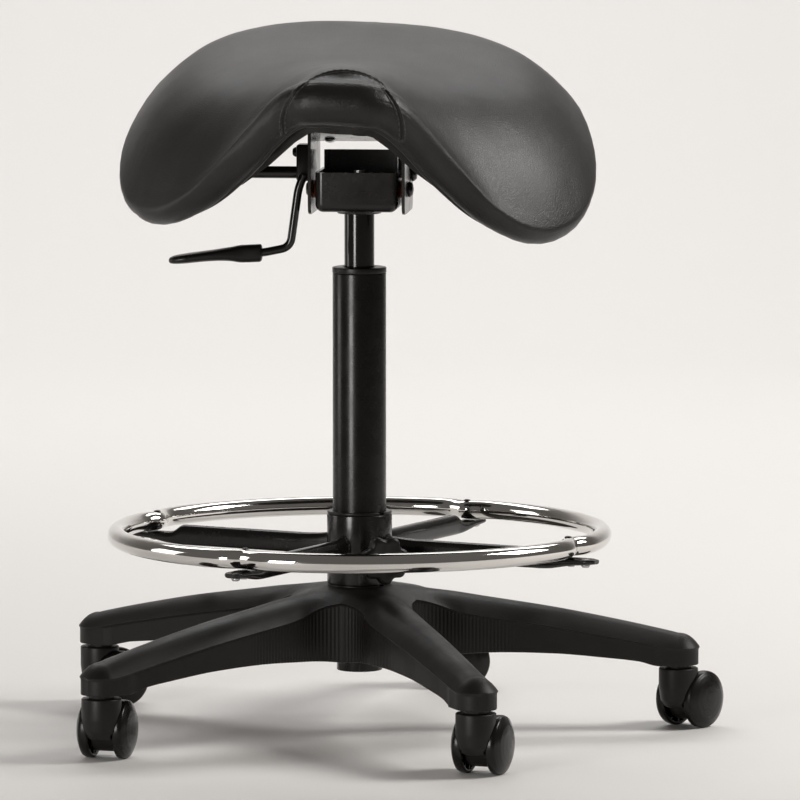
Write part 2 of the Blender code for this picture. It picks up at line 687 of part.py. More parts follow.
def spoke(index):
    """Flattened bar from the collar to a thin foot screwed under the ring."""
    a = SPOKE_START + 2.0 * math.pi * index / SPOKE_COUNT
    top = RING_Z - SPOKE_DROP
    low = top - SPOKE_DEEP
    foot = RING_Z - RING_TUBE - GAP - 0.0002
    stations = (
        (COLLAR_R + 0.0009, 0.0040, low - 0.0020, top + 0.0020),
        (COLLAR_R + 0.0146, 0.0062, low, top + 0.0005),
        (COLLAR_R + 0.0316, SPOKE_W, low, top),
        (RING_R - 0.0390, SPOKE_W, low, top),
        (RING_R - 0.0270, SPOKE_W + 0.0008, low + 0.0004, foot + 0.0010),
        (RING_R - 0.0190, SPOKE_W + 0.0014, low + 0.0015, foot),
        (RING_R - 0.0090, SPOKE_W + 0.0018, foot - 0.0085, foot),
        (RING_R + 0.0130, SPOKE_W + 0.0018, foot - 0.0060, foot),
        (SPOKE_END - 0.0020, SPOKE_W, foot - 0.0055, foot - 0.0004),
        (SPOKE_END, SPOKE_W - 0.0040, foot - 0.0048, foot - 0.0012),
    )
    loops = []
    for r, w, z0, z1 in stations:
        loops.append([(r, y, z) for y, z in superellipse(0.0, (z0 + z1) / 2, w, (z1 - z0) / 2,
                                                         2.6, 10)])
    return loft(loops, Matrix.Rotation(a, 4, "Z"))


def knob_body():
    """Lobed hand knob; its axis is Z here and its back faces down."""
    outline = []
    count = KNOB_LOBES * 4
    for i in range(count):
        a = 2.0 * math.pi * i / count
        outline.append((a, 0.5 + 0.5 * math.cos(KNOB_LOBES * a)))
    depth = KNOB_OUT - KNOB_IN
    stations = ((0.0098, 0.0, 0.0), (0.0105, 0.0, 0.34), (KNOB_R - 0.0012, 0.9, 0.58),
                (KNOB_R, 1.0, 0.66), (KNOB_R, 1.0, 0.90), (KNOB_R - 0.0018, 0.9, 1.0))
    loops = []
    for radius, lobe, t in stations:
        loops.append([((radius - 0.0042 * lobe * (1.0 - w)) * math.cos(a),
                       (radius - 0.0042 * lobe * (1.0 - w)) * math.sin(a), depth * t)
                      for a, w in outline])
    body = loft(loops)
    hole = lathe(((0.0, -0.005), (0.0042 + GAP, -0.005), (0.0042 + GAP, 0.014), (0.0, 0.014)), 12)
    return combine(body, [hole], "DIFFERENCE")


def build_foot_ring(mats, slider, ring, knob):
    slot = KNOB_AZ + math.radians(24.0)
    sleeve = split_lathe(((TUBE_R + GAP, SLEEVE_LOW), (SLEEVE_FLANGE, SLEEVE_LOW),
                          (SLEEVE_FLANGE, SLEEVE_LOW + 0.0022), (SLEEVE_R, SLEEVE_LOW + 0.0024),
                          (SLEEVE_R, SLEEVE_TOP - 0.0024), (SLEEVE_FLANGE, SLEEVE_TOP - 0.0022),
                          (SLEEVE_FLANGE, SLEEVE_TOP), (TUBE_R + GAP, SLEEVE_TOP)), 36,
                         slot + SLEEVE_SLOT / 2, slot + 2.0 * math.pi - SLEEVE_SLOT / 2)
    finish("ring_sleeve", sleeve, mats["black_plastic"], slider)
    collar = lathe(((SLEEVE_R + GAP, COLLAR_LOW), (COLLAR_R, COLLAR_LOW),
                    (COLLAR_R, COLLAR_TOP), (SLEEVE_R + GAP, COLLAR_TOP)), 36)
    out = Matrix.Rotation(KNOB_AZ, 4, "Z") @ along_x(0.0, 0.0, KNOB_Z)
    hole = lathe(((0.0, 0.015), (0.0042 + GAP, 0.015), (0.0042 + GAP, 0.040), (0.0, 0.040)), 12, out)
    finish("ring_collar", combine(collar, [hole], "DIFFERENCE"), mats["spoke_paint"], ring)
    finish("foot_ring", sweep(ring_path(), RING_TUBE, 10, closed=True), mats["chrome"], ring)
    for i in range(SPOKE_COUNT):
        finish("ring_spoke_%d" % (i + 1), spoke(i), mats["spoke_paint"], ring)
    boss = lathe(((0.0042 + GAP, COLLAR_R + 0.0008), (0.0085, COLLAR_R + 0.0008),
                  (0.0085, KNOB_IN - 0.0017), (0.0042 + GAP, KNOB_IN - 0.0017)), 16, out)
    finish("collar_nut", boss, mats["spoke_paint"], ring)
    local = Matrix.Rotation(math.pi / 2, 4, "Y")
    stud = lathe(((0.0, SLEEVE_R + 0.0007), (0.0042, SLEEVE_R + 0.0007), (0.0042, KNOB_IN + 0.0132),
                  (0.0, KNOB_IN + 0.0132)), 12, local)
    finish("knob_stud", stud, mats["steel_pin"], knob)
    body = knob_body()
    body.transform(local @ Matrix.Translation((0.0, 0.0, KNOB_IN)))
    finish("clamp_knob", body, mats["black_plastic"], knob)


# ================================================================ tilt mechanism
def build_pan(mat, parent):
    """Open-topped steel pan with a taper boss below and a tall rear wall."""
    outer = box((-PAN_X, PAN_FRONT, PAN_LOW), (PAN_X, PAN_BACK, PAN_BACK_TOP + 0.01), 0.0075, 2)
    inner = box((-PAN_X + PAN_T, PAN_FRONT + PAN_T, PAN_LOW + PAN_T),
                (PAN_X - PAN_T, PAN_BACK - PAN_T, PAN_BACK_TOP + 0.03), 0.0045, 1)
    front = box((-0.06, -0.08, PAN_TOP), (0.06, PAN_BACK - PAN_T - 0.001, 0.60))
    rear = box((-0.06, -0.08, PAN_BACK_TOP), (0.06, 0.09, 0.61))
    boss = lathe(((0.0, BOSS_LOW), (BOSS_R - 0.0015, BOSS_LOW), (BOSS_R, BOSS_LOW + 0.0015),
                  (BOSS_R, PAN_LOW + 0.0245), (0.0, PAN_LOW + 0.0245)), 28)
    bore = lathe(((0.0, 0.45), (GAS_R + GAP, 0.45), (GAS_R + GAP, GAS_SHOULDER),
                  (GAS_R - 0.0012 + GAP, GAS_TOP), (0.0, GAS_TOP)), 32)
    body = combine(outer, [inner, front, rear], "DIFFERENCE")
    body = combine(body, [boss], "UNION")
    holes = [bore]
    for sign in (-1, 1):
        start, end = PAN_X - 0.0085, PAN_X + 0.0065
        holes.append(lathe(((0.0, start), (0.0052, start), (0.0052, end), (0.0, end)), 12,
                           mirror_x(sign) @ along_x(0.0, PIVOT_Y, PIVOT_Z)))
    return finish("tilt_pan", combine(body, holes, "DIFFERENCE"), mat, parent)


def mirror_x(sign):
    return Matrix.Diagonal((sign, 1.0, 1.0, 1.0))


def build_pivots(mats, lift, seat_origin, seat):
    """Orange bushes on the pan and shoulder bolts through the seat plate's flanges."""
    inner = PLATE_X - PLATE_T
    for side, sign in (("left", -1), ("right", 1)):
        lie = mirror_x(sign) @ along_x(0.0, PIVOT_Y, PIVOT_Z)
        bush = lathe(((0.0052 + GAP, PAN_X + GAP), (0.0085, PAN_X + GAP), (0.0085, inner - GAP),
                      (0.0052 + GAP, inner - GAP)), 16, lie)
        finish("pivot_bush_" + side, bush, mats["orange_nylon"], lift)
        start = PAN_X - 0.0040
        bolt = lathe(((0.0, start), (0.0049, start), (0.0049, PLATE_X + GAP),
                      (0.0074, PLATE_X + GAP), (0.0074, PLATE_X + 0.0022),
                      (0.0050, PLATE_X + 0.0046), (0.0, PLATE_X + 0.0054)), 14, lie)
        finish("pivot_bolt_" + side, relative(bolt, seat_origin), mats["bracket_paint"], seat)


def relative(bm, origin):
    """Shifts a body laid out about the column to the space of an empty at `origin`."""
    bmesh.ops.translate(bm, verts=bm.verts, vec=-Vector(origin))
    return bm


def tilted(bm):
    """Tips a body laid out level about the pivot axis."""
    pivot = Vector((0.0, PIVOT_Y, PIVOT_Z))
    bm.transform(Matrix.Translation(pivot) @ Matrix.Rotation(TILT, 4, "X")
                 @ Matrix.Translation(-pivot))
    return bm


def plate_height():
    """Level height of the seat plate's underside before it is tipped about the pivot."""
    return PIVOT_Z + (PLATE_UNDER - PIVOT_Z) * math.cos(TILT)


def build_plate(mats, seat_origin, seat):
    """Seat plate with its two side flanges folded down over the pan."""
    under = plate_height()
    top = tilted(box((-PLATE_X, PLATE_FRONT, under), (PLATE_X, PLATE_BACK, under + PLATE_T)))
    parts = []
    inner = PLATE_X - PLATE_T
    back_low = FLANGE_LOW + 0.0008
    for sign in (-1, 1):
        side = []
        for x in (inner, PLATE_X):
            y0, y1 = PLATE_FRONT + 0.0105, PLATE_BACK - 0.0060
            slope = math.tan(-TILT)
            z0 = PLATE_UNDER - (y0 - PIVOT_Y) * slope + 0.0012
            z1 = PLATE_UNDER - (y1 - PIVOT_Y) * slope + 0.0012
            side.append([(x, y0, z0), (x, y0 + 0.001, FLANGE_LOW + 0.010), (x, y0 + 0.004,
                         FLANGE_LOW + 0.003), (x, y0 + 0.010, FLANGE_LOW),
                         (x, y1 - 0.012, back_low), (x, y1 - 0.004, back_low + 0.004),
                         (x, y1, back_low + 0.012), (x, y1, z1)])
        parts.append(loft(side, mirror_x(sign)))
    body = combine(top, parts, "UNION")
    holes = [tilted(lathe(((0.0, 0.54), (PLATE_HOLE_R, 0.54), (PLATE_HOLE_R, 0.60), (0.0, 0.60)), 24,
                          Matrix.Translation((0.0, PLATE_HOLE_Y, 0.0))))]
    end = PLATE_X + 0.025
    for y, z, start in ((PIVOT_Y, PIVOT_Z, -end), (LOCK_Y, LOCK_Z, 0.02)):
        holes.append(lathe(((0.0, start), (0.0052, start), (0.0052, end), (0.0, end)), 14,
                           along_x(0.0, y, z)))
    body = combine(body, holes, "DIFFERENCE")
    finish("seat_plate", relative(body, seat_origin), mats["bracket_paint"], seat)


def build_lock(mats, seat_origin, seat):
    """Friction-lock bolt behind the pivot, through the right flange."""
    bolt = lathe(((0.0, PAN_X + 0.0006), (0.0049, PAN_X + 0.0006), (0.0049, PLATE_X + GAP),
                  (0.0076, PLATE_X + GAP), (0.0076, PLATE_X + 0.0022), (0.0052, PLATE_X + 0.0048),
                  (0.0, PLATE_X + 0.0058)), 14, along_x(0.0, LOCK_Y, LOCK_Z))
    finish("lock_bolt", relative(bolt, seat_origin), mats["bracket_paint"], seat)


def build_levers(mats, seat_origin, seat, lift_lever, lift_origin, tilt_lever, tilt_origin):
    inner = PLATE_X + GAP
    block = box((-BLOCK_X, -BLOCK_Y, BLOCK_LOW), (-inner, BLOCK_Y + 0.002, BLOCK_TOP), 0.0022, 1)
    far, near = -BLOCK_X - 0.0080, -BLOCK_X + 0.0080
    cuts = [lathe(((0.0, far), (TILT_ROD_R + GAP, far), (TILT_ROD_R + GAP, near), (0.0, near)), 16,
                  along_x(0.0, 0.0, TILT_ROD_Z)),
            lathe(((0.0, far), (0.0027, far), (0.0027, -PLATE_X + 0.005), (0.0, -PLATE_X + 0.005)), 12,
                  along_x(0.0, 0.0, BLOCK_BOLT_Z))]
    block = combine(block, cuts, "DIFFERENCE")
    finish("lever_block", relative(block, seat_origin), mats["black_plastic"], seat)
    bolt = lathe(((0.0, BLOCK_X + 0.0048), (0.0036, BLOCK_X + 0.0048), (0.0046, BLOCK_X + 0.0034),
                  (0.0046, BLOCK_X + GAP), (0.0024, BLOCK_X + GAP), (0.0024, PLATE_X + 0.0010),
                  (0.0, PLATE_X + 0.0010)), 12, mirror_x(-1) @ along_x(0.0, 0.0, BLOCK_BOLT_Z))
    finish("block_bolt", relative(bolt, seat_origin), mats["bracket_paint"], seat)
    # tilt lever: a straight rod out to the left under the flap
    end, start = -BLOCK_X - TILT_ROD_OUT, near - 0.0006
    rod = lathe(((0.0, end), (TILT_ROD_R - 0.0006, end), (TILT_ROD_R, end + 0.0006),
                 (TILT_ROD_R, start - 0.0006), (TILT_ROD_R - 0.0006, start), (0.0, start)), 16,
                along_x(0.0, 0.0, TILT_ROD_Z))
    finish("tilt_lever_rod", relative(rod, tilt_origin), mats["rod_paint"], tilt_lever)
    bore = TILT_ROD_R + GAP
    grip = lathe(((0.0, end - 0.0075), (bore + 0.0006, end - 0.0075), (bore + 0.0026, end - 0.0055),
                  (bore + 0.0028, end + 0.0070), (bore + 0.0018, end + 0.0320), (bore, end + 0.0325),
                  (bore, end - 0.0004), (0.0, end - 0.0004)), 16, along_x(0.0, 0.0, TILT_ROD_Z))
    finish("tilt_lever_grip", relative(grip, tilt_origin), mats["grip_plastic"], tilt_lever)
    # height lever: a bent rod hung below the block, with a flat paddle
    y = LEVER_Y
    path = rounded_path(((-BLOCK_X + 0.0080, y, 0.5230), (-BLOCK_X + 0.0030, y, 0.5130),
                         (-BLOCK_X - 0.0050, y, 0.4558), (-BLOCK_X - 0.0300, y, 0.4506),
                         (-BLOCK_X - 0.0510, y, 0.4484)), 0.0075, 3)
    finish("height_lever_rod", relative(sweep(path, LIFT_ROD_R, 10), lift_origin),
           mats["rod_paint"], lift_lever)
    finish("height_lever_paddle", relative(paddle(path[-5:]), lift_origin), mats["grip_plastic"],
           lift_lever)


def paddle(rod_path):
    """Flat grip with a socket for the rod at its inner end."""
    y = LEVER_Y
    stations = ((0.0, 0.0060, 0.0072, 0.4504), (0.0020, 0.0075, 0.0084, 0.4502),
                (0.0185, 0.0092, 0.0082, 0.4494), (0.0305, 0.0118, 0.0064, 0.4490),
                (0.0505, 0.0140, 0.0050, 0.4472), (0.0705, 0.0145, 0.0046, 0.4448),
                (0.0825, 0.0120, 0.0042, 0.4434), (0.0870, 0.0075, 0.0026, 0.4428))
    loops = []
    for out, half_y, half_z, z in stations:
        x = -BLOCK_X - PADDLE_OUT - out
        loops.append([(x, y + a, z + b) for a, b in superellipse(0.0, 0.0, half_y, half_z, 2.6, 12)])
    end = rod_path[-1] + (rod_path[-1] - rod_path[-2]).normalized() * GAP
    rod = sweep(rod_path[:-1] + [end], LIFT_ROD_R + GAP, 10)
    return combine(loft(loops), [rod], "DIFFERENCE")


# ================================================================ saddle seat
def resample(table, count):
    """Smooth reading of a table of points at evenly spaced parameters."""
    out = []
    last = len(table) - 1
    for i in range(count):
        t = last * i / (count - 1)
        k = min(int(t), last - 1)
        f = t - k
        p = [table[max(min(k + d, last), 0)] for d in (-1, 0, 1, 2)]
        row = []
        for a, b, c, d in zip(*p):
            row.append(0.5 * (2 * b + (c - a) * f + (2 * a - 5 * b + 4 * c - d) * f * f
                              + (3 * b - a - 3 * c + d) * f ** 3))
        out.append(row)
    return out


def bezier(p0, p1, p2, p3, t):
    s = 1.0 - t
    return p0 * s ** 3 + p1 * (3 * s * s * t) + p2 * (3 * s * t * t) + p3 * t ** 3


def rib_curves(ribs):
    """For each rib of the right half: spine and rim points, tangents, thickness and lean."""
    widest = max(x for x, _, _ in RIM)
    rims = resample([(x * SEAT_HALF_W / widest, y, z) for x, y, z in RIM], ribs)
    spines = resample(SPINE, ribs)
    edges = resample(list(zip(RIM_THICK, RIM_LEAN)), ribs)
    out = []
    for i in range(ribs):
        rim = Vector(rims[i])
        spine = Vector((0.0, spines[i][0], spines[i][1]))
        before, after = Vector(rims[max(i - 1, 0)]), Vector(rims[min(i + 1, ribs - 1)])
        along = after - before
        if i in (0, ribs - 1):
            along = Vector((1.0, 0.0, 0.0)) * (1.0 if i == 0 else -1.0)
        along.normalize()
        flat = Vector((rim.x - spine.x, rim.y - spine.y, 0.0))
        out.append((spine, rim, flat, along, *edges[i]))
    return out


def rib_section(curve, top_steps, edge_steps, under_steps):
    """Closed half section: over the top to the rim, round the rolled edge, back underneath."""
    spine, rim, flat, along, thick, steep = curve
    run = flat.length
    outward = flat / run
    down = Vector((0.0, 0.0, -1.0))
    arrive = (outward * math.cos(steep) + down * math.sin(steep)).normalized()
    normal = along.cross(arrive)
    if normal.dot(outward - down) < 0:
        normal = -normal
    normal.normalize()
    top = []
    shoulder = rim + normal * (thick * 0.30) - arrive * (thick * 0.30)
    lead = spine + outward * (run * 0.52)
    reach = (shoulder - spine).length * 0.42
    for k in range(top_steps + 1):
        top.append(bezier(spine, lead, shoulder - arrive * reach, shoulder, k / top_steps))
    edge = []
    centre = shoulder - normal * (thick * 0.5)
    for k in range(1, edge_steps + 1):
        a = math.pi * k / edge_steps
        bulge = arrive * (math.sin(a) * thick * 0.46)
        edge.append(centre + normal * (math.cos(a) * thick * 0.5) + bulge)
    hem = edge[-1]
    under_spine = spine + down * PAD_T
    under = []
    for k in range(1, under_steps + 1):
        t = k / under_steps
        under.append(bezier(hem, hem - arrive * (reach * 0.9), under_spine + outward * (run * 0.42),
                            under_spine, t))
    return top, edge, under


RIBS = 19
TOP_STEPS, EDGE_STEPS, UNDER_STEPS = 9, 5, 6


def roll(p):
    """Leans a seat point about the middle of the seat plate."""
    c, s = math.cos(SEAT_ROLL), math.sin(SEAT_ROLL)
    z = p.z - PLATE_UNDER
    return Vector((p.x * c + z * s + SEAT_SHIFT, p.y, -p.x * s + z * c + PLATE_UNDER))


def mirrored_rows(half):
    """Rows for the right half, then the left half back again, sharing the middle ribs."""
    rows = [list(row) for row in half]
    for row in reversed(half[1:-1]):
        rows.append([Vector((-p.x, p.y, p.z)) for p in row])
    return rows


def seat_rows():
    """Closed sections of the cushion all the way round."""
    half = []
    for curve in rib_curves(RIBS):
        top, edge, under = rib_section(curve, TOP_STEPS, EDGE_STEPS, UNDER_STEPS)
        half.append(top + edge + under)
    return mirrored_rows(half)


def ribbed_mesh(rows, reverse_to=0):
    """Body whose rows run from the upper centre line out and back to the lower centre line.

    Each quad is split from its rim side to its centre side, so that bodies offset from one
    another keep matching facets; columns before `reverse_to` run outward instead.
    """
    bm = bmesh.new()
    n = len(rows)
    middle = n // 2
    grid = [[None] * len(rows[0]) for _ in rows]
    for i in range(n):
        twin = (n - i) % n
        for j, p in enumerate(rows[i]):
            on_line = j in (0, len(rows[i]) - 1)
            if on_line and i > middle:
                grid[i][j] = grid[twin][j]
            else:
                grid[i][j] = bm.verts.new(roll(p))
    for i in range(n):
        a, b = grid[i], grid[(i + 1) % n]
        for j in range(len(a) - 1):
            k = j + 1
            if j < reverse_to:
                tris = ((a[j], a[k], b[j]), (a[k], b[k], b[j]))
            else:
                tris = ((a[j], a[k], b[k]), (a[j], b[k], b[j]))
            for tri in tris:
                if len(set(tri)) == 3:
                    bm.faces.new(tri)
    return bm


def build_cushion(mats, seat_origin, seat):
    body = ribbed_mesh(seat_rows())
    finish("seat_cushion", relative(body, seat_origin), mats["seat_vinyl"], seat, sharp=60.0)


def shell_rows():
    """The shell: an even sheet offset from the underside of the padding."""
    half = []
    for curve in rib_curves(RIBS):
        _, edge, under = rib_section(curve, TOP_STEPS, EDGE_STEPS, UNDER_STEPS)
        half.append([edge[-1]] + under)
    rows = mirrored_rows(half)
    n, m = len(rows), len(rows[0])
    normals = []
    for i in range(n):
        line = []
        for j in range(m):
            if j == m - 1:
                line.append(Vector((0.0, 0.0, -1.0)))
                continue
            before, after = rows[(i - 1) % n][j], rows[(i + 1) % n][j]
            inner = rows[i][min(j + 1, m - 1)]
            outer = rows[i][max(j - 1, 0)]
            line.append((inner - outer).cross(after - before).normalized())
        normals.append(line)
    if normals[n // 4][m - 2].z > 0.0:
        normals = [[-normal for normal in line] for line in normals]
    for line in normals:
        line[-1] = Vector((0.0, 0.0, -1.0))
    out = []
    for i in range(n):
        upper = [rows[i][j] + normals[i][j] * SHELL_GAP for j in range(m)]
        start = upper[0].lerp(upper[1], 0.55) + normals[i][0] * (SHELL_GAP * 1.5)
        upper = [start] + upper[1:]
        lower = [upper[j] + normals[i][j] * SHELL_T for j in range(m)]
        lower[0] = upper[0] + normals[i][0] * (SHELL_T * 0.8)
        out.append(list(reversed(upper)) + lower)
    return out


def build_shell(mats, seat_origin, seat):
    body = ribbed_mesh(shell_rows(), UNDER_STEPS)
    tree = BVHTree.FromBMesh(body)
    finish("seat_shell", relative(body, seat_origin), mats["shell_ply"], seat, sharp=50.0)
    return tree


def build_mount_block(mats, tree, seat_origin, seat):
    """Wooden block that fills the wedge between the tipped plate and the curved shell."""
    pivot = Vector((0.0, PIVOT_Y, PIVOT_Z))
    tip = Matrix.Rotation(TILT, 3, "X")
    base_z = plate_height() + PLATE_T + GAP
    steps_x, steps_y = 4, 5
    lows, highs = [], []
    for j in range(steps_y + 1):
        low_row, high_row = [], []
        for i in range(steps_x + 1):
            x = -0.038 + 0.076 * i / steps_x
            y = -0.034 + 0.092 * j / steps_y
            p = pivot + tip @ (Vector((x, y, base_z)) - pivot)
            hit = tree.ray_cast(p, Vector((0.0, 0.0, 1.0)))[0]
            low_row.append(p)
            high_row.append(Vector((p.x, p.y, hit.z - 0.0010)))
        lows.append(low_row)
        highs.append(high_row)
    bm = bmesh.new()
    low_v = [[bm.verts.new(p) for p in row] for row in lows]
    high_v = [[bm.verts.new(p) for p in row] for row in highs]
    add_grid(bm, low_v)
    add_grid(bm, high_v)

    def border(grid):
        return (grid[0] + [row[-1] for row in grid[1:-1]] + list(reversed(grid[-1]))
                + [row[0] for row in reversed(grid[1:-1])])

    add_grid(bm, [border(low_v), border(high_v)], close_cols=True)
    finish("seat_mount_block", relative(bm, seat_origin), mats["shell_ply"], seat, sharp=30.0)


# ================================================================ assembly
def main():
    clear_scene()
    mats = make_materials()
    root = empty("stool", (AXIS_X, AXIS_Y, 0.0))
    build_star(mats["base_nylon"], root)
    build_casters(mats, root)
    build_column(mats, root)
    swivel = empty("swivel", (0.0, 0.0, 0.0), root)
    yaw = (0.0, 0.0, SEAT_YAW)
    lift = empty("lift", (0.0, 0.0, 0.0), swivel, yaw)
    build_gas_spring(mats, swivel, lift)
    slider = empty("ring_slider", (0.0, 0.0, 0.0), root)
    ring = empty("ring_turn", (0.0, 0.0, 0.0), slider)
    knob = empty("knob_turn", (0.0, 0.0, KNOB_Z), ring, (0.0, 0.0, KNOB_AZ))
    build_foot_ring(mats, slider, ring, knob)
    build_pan(mats["bracket_paint"], lift)
    seat_origin = (0.0, PIVOT_Y, PIVOT_Z)
    seat = empty("seat_tilt", seat_origin, lift)
    build_pivots(mats, lift, seat_origin, seat)
    build_plate(mats, seat_origin, seat)
    build_lock(mats, seat_origin, seat)
    lift_origin = (-0.0520, LEVER_Y, 0.5215)
    tilt_origin = (-0.0520, 0.0, TILT_ROD_Z)
    lift_lever = empty("height_lever_turn", Vector(lift_origin) - Vector(seat_origin), seat)
    tilt_lever = empty("tilt_lever_turn", Vector(tilt_origin) - Vector(seat_origin), seat)
    build_levers(mats, seat_origin, seat, lift_lever, lift_origin, tilt_lever, tilt_origin)
    build_cushion(mats, seat_origin, seat)
    tree = build_shell(mats, seat_origin, seat)
    build_mount_block(mats, tree, seat_origin, seat)


main()
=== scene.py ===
"""Looks of the saddle-seat drafting stool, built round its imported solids.

Metres, +Z up.  Pieces are laid out about the column's axis, as the solids are, and `add` moves
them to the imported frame: COLUMN for what stands straight, SEAT for what turns with the seat.
"""
import math

import bmesh
import bpy
from mathutils import Matrix, Vector, noise
from mathutils.bvhtree import BVHTree
from mathutils.kdtree import KDTree
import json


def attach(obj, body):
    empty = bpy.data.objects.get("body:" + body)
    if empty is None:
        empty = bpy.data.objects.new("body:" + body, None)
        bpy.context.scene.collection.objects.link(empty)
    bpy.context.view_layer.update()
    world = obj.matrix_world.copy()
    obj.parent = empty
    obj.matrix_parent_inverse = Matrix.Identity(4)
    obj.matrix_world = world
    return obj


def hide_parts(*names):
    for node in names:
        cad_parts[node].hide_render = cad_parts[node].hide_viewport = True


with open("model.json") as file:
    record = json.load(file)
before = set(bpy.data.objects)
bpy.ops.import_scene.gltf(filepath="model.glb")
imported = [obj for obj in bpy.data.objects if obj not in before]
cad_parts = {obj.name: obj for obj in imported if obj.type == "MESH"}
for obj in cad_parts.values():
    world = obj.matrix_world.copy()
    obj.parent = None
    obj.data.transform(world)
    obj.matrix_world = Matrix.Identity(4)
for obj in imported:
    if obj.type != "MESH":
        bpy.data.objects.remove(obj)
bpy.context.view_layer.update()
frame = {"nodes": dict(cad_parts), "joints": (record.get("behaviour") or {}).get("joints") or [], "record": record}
JOINTS = {joint["name"]: joint for joint in frame["joints"]}

# ---------------------------------------------------------------- places taken from the frame
AXIS = Vector(JOINTS["seat_swivel"]["pos_m"])
AXIS.z = 0.0
TILT_AXIS = Vector(JOINTS["seat_tilt"]["axis"])
SEAT_YAW = math.atan2(TILT_AXIS.y, TILT_AXIS.x)
COLUMN = Matrix.Translation(AXIS)
SEAT = COLUMN @ Matrix.Rotation(SEAT_YAW, 4, "Z")
GAP = 0.0003

# ---------------------------------------------------------------- star base
ARM_COUNT = 5
ARM_START = math.radians(2.7)
ARM_STEM_R = 0.300              # caster stem radius from the column axis
ARM_TIP_W = 0.0200              # half width, also the nose radius
HUB_TOP = 0.1365
HUB_LOW = 0.0700
VALLEY_R = 0.0560
TIP_LOW = 0.0612
LIP = 0.0018                    # the crown overhangs the side walls by this
WALL = 0.0035
SOCKET_R = 0.0056

# ---------------------------------------------------------------- casters
WHEEL_R = 0.0270
WHEEL_IN = 0.0116               # inner face of a wheel, from the caster's middle plane
WHEEL_OUT = 0.0200              # shoulder where the tread meets the dome
WHEEL_DOME = 0.0262
CASTER_TRAIL = 0.0180
CASTER_R = 0.0185
CASTER_TOP = 0.0578
CASTER_LOW = 0.0200
CASTER_WEB = 0.0108             # half thickness of the web between the wheels
STEM_R = SOCKET_R - GAP

# ---------------------------------------------------------------- column and gas spring
TUBE_R = 0.0250
TUBE_BORE = 0.0229
TUBE_FOOT_R = 0.0213
TUBE_LOW = 0.0580
TUBE_FOOT_WALL = 0.0022
TUBE_FLOOR = 0.0625             # foot plate, recessed behind the rolled rim at TUBE_LOW
TUBE_FLOOR_T = 0.0030
TUBE_TAPER = 0.0900
TUBE_TOP = 0.4310
CAP_R = 0.0253
CAP_TOP = 0.4370
CAP_LOW = 0.3620
GAS_R = 0.0140
GAS_LOW = 0.1150
GAS_SHOULDER = 0.4860
GAS_TOP = 0.5220
ROD_R = 0.0050

# ---------------------------------------------------------------- foot ring
RING_R = 0.2270
RING_TUBE = 0.0090
RING_Z = 0.1860
RING_DIP = 0.0075               # how far the tube dips inward over each spoke
RING_DIP_ANGLE = math.radians(3.6)
SPOKE_COUNT = 4
SPOKE_START = math.radians(62.0)
SPOKE_DROP = 0.0020             # spoke top below the ring's centre line
SPOKE_DEEP = 0.0195
SPOKE_W = 0.0072
SPOKE_END = 0.2480
SLEEVE_R = 0.0285
SLEEVE_LOW = 0.1375
SLEEVE_TOP = 0.2080
SLEEVE_FLANGE = 0.0302
SLEEVE_SLOT = math.radians(12.0)
COLLAR_R = 0.0304
COLLAR_LOW = 0.1402
COLLAR_TOP = 0.2053
KNOB_AZ = math.radians(-70.0)
KNOB_Z = 0.1690
KNOB_R = 0.0232
KNOB_IN = 0.0475
KNOB_OUT = 0.0760
KNOB_LOBES = 7

# ---------------------------------------------------------------- tilt mechanism
PIVOT_Y = 0.0040
PIVOT_Z = 0.5090
TILT = math.radians(-11.0)      # front of the seat plate is up by this much
PAN_X = 0.0385
PAN_FRONT = -0.0340
PAN_BACK = 0.0520
PAN_LOW = 0.4895
PAN_TOP = 0.5265
PAN_BACK_TOP = 0.5430
PAN_T = 0.0030
BOSS_R = 0.0208
BOSS_LOW = 0.4866
PLATE_X = 0.0452
PLATE_T = 0.0030
PLATE_UNDER = 0.5625            # underside of the seat plate over the pivot
PLATE_FRONT = -0.0420
PLATE_BACK = 0.0640
FLANGE_LOW = 0.4870
PLATE_HOLE_R = 0.0095
PLATE_HOLE_Y = 0.0170
LOCK_Y = 0.0420
LOCK_Z = 0.5215
BLOCK_X = 0.0580
BLOCK_LOW = 0.5170
BLOCK_TOP = 0.5510
BLOCK_Y = 0.0110
TILT_ROD_R = 0.0057
TILT_ROD_Z = 0.5245
LIFT_ROD_R = 0.0039
LEVER_Y = -0.0169               # the height lever hangs just in front of its block

# ---------------------------------------------------------------- saddle seat
SEAT_ROLL = math.radians(2.6)   # the cushion sits a little low on its right side
SEAT_SHIFT = -0.0045            # and a little left of the column
PAD_T = 0.0400                  # padding over the shell at the middle
# half of the rim seen from above and from the side, front middle to rear middle: x, y, z
RIM = (
    (0.000, -0.172, 0.605), (0.030, -0.170, 0.604), (0.054, -0.157, 0.595),
    (0.077, -0.137, 0.570), (0.106, -0.112, 0.532), (0.140, -0.085, 0.496),
    (0.176, -0.050, 0.477), (0.205, -0.006, 0.484), (0.218, 0.042, 0.511),
    (0.214, 0.088, 0.546), (0.193, 0.130, 0.584), (0.151, 0.162, 0.611),
    (0.101, 0.180, 0.628), (0.050, 0.188, 0.636), (0.000, 0.190, 0.639),
)
# where each of those ribs leaves the seat's centre line: y, z
SPINE = (
    (-0.128, 0.629), (-0.122, 0.6295), (-0.112, 0.630), (-0.098, 0.630), (-0.080, 0.630),
    (-0.060, 0.630), (-0.036, 0.631), (-0.010, 0.633), (0.018, 0.636), (0.046, 0.640),
    (0.074, 0.645), (0.098, 0.650), (0.118, 0.654), (0.132, 0.656), (0.140, 0.657),
)
# padding thickness at the rim, rib by rib
RIM_THICK = (0.041, 0.040, 0.036, 0.031, 0.029, 0.028, 0.028, 0.028, 0.029, 0.030,
             0.031, 0.032, 0.033, 0.034, 0.034)
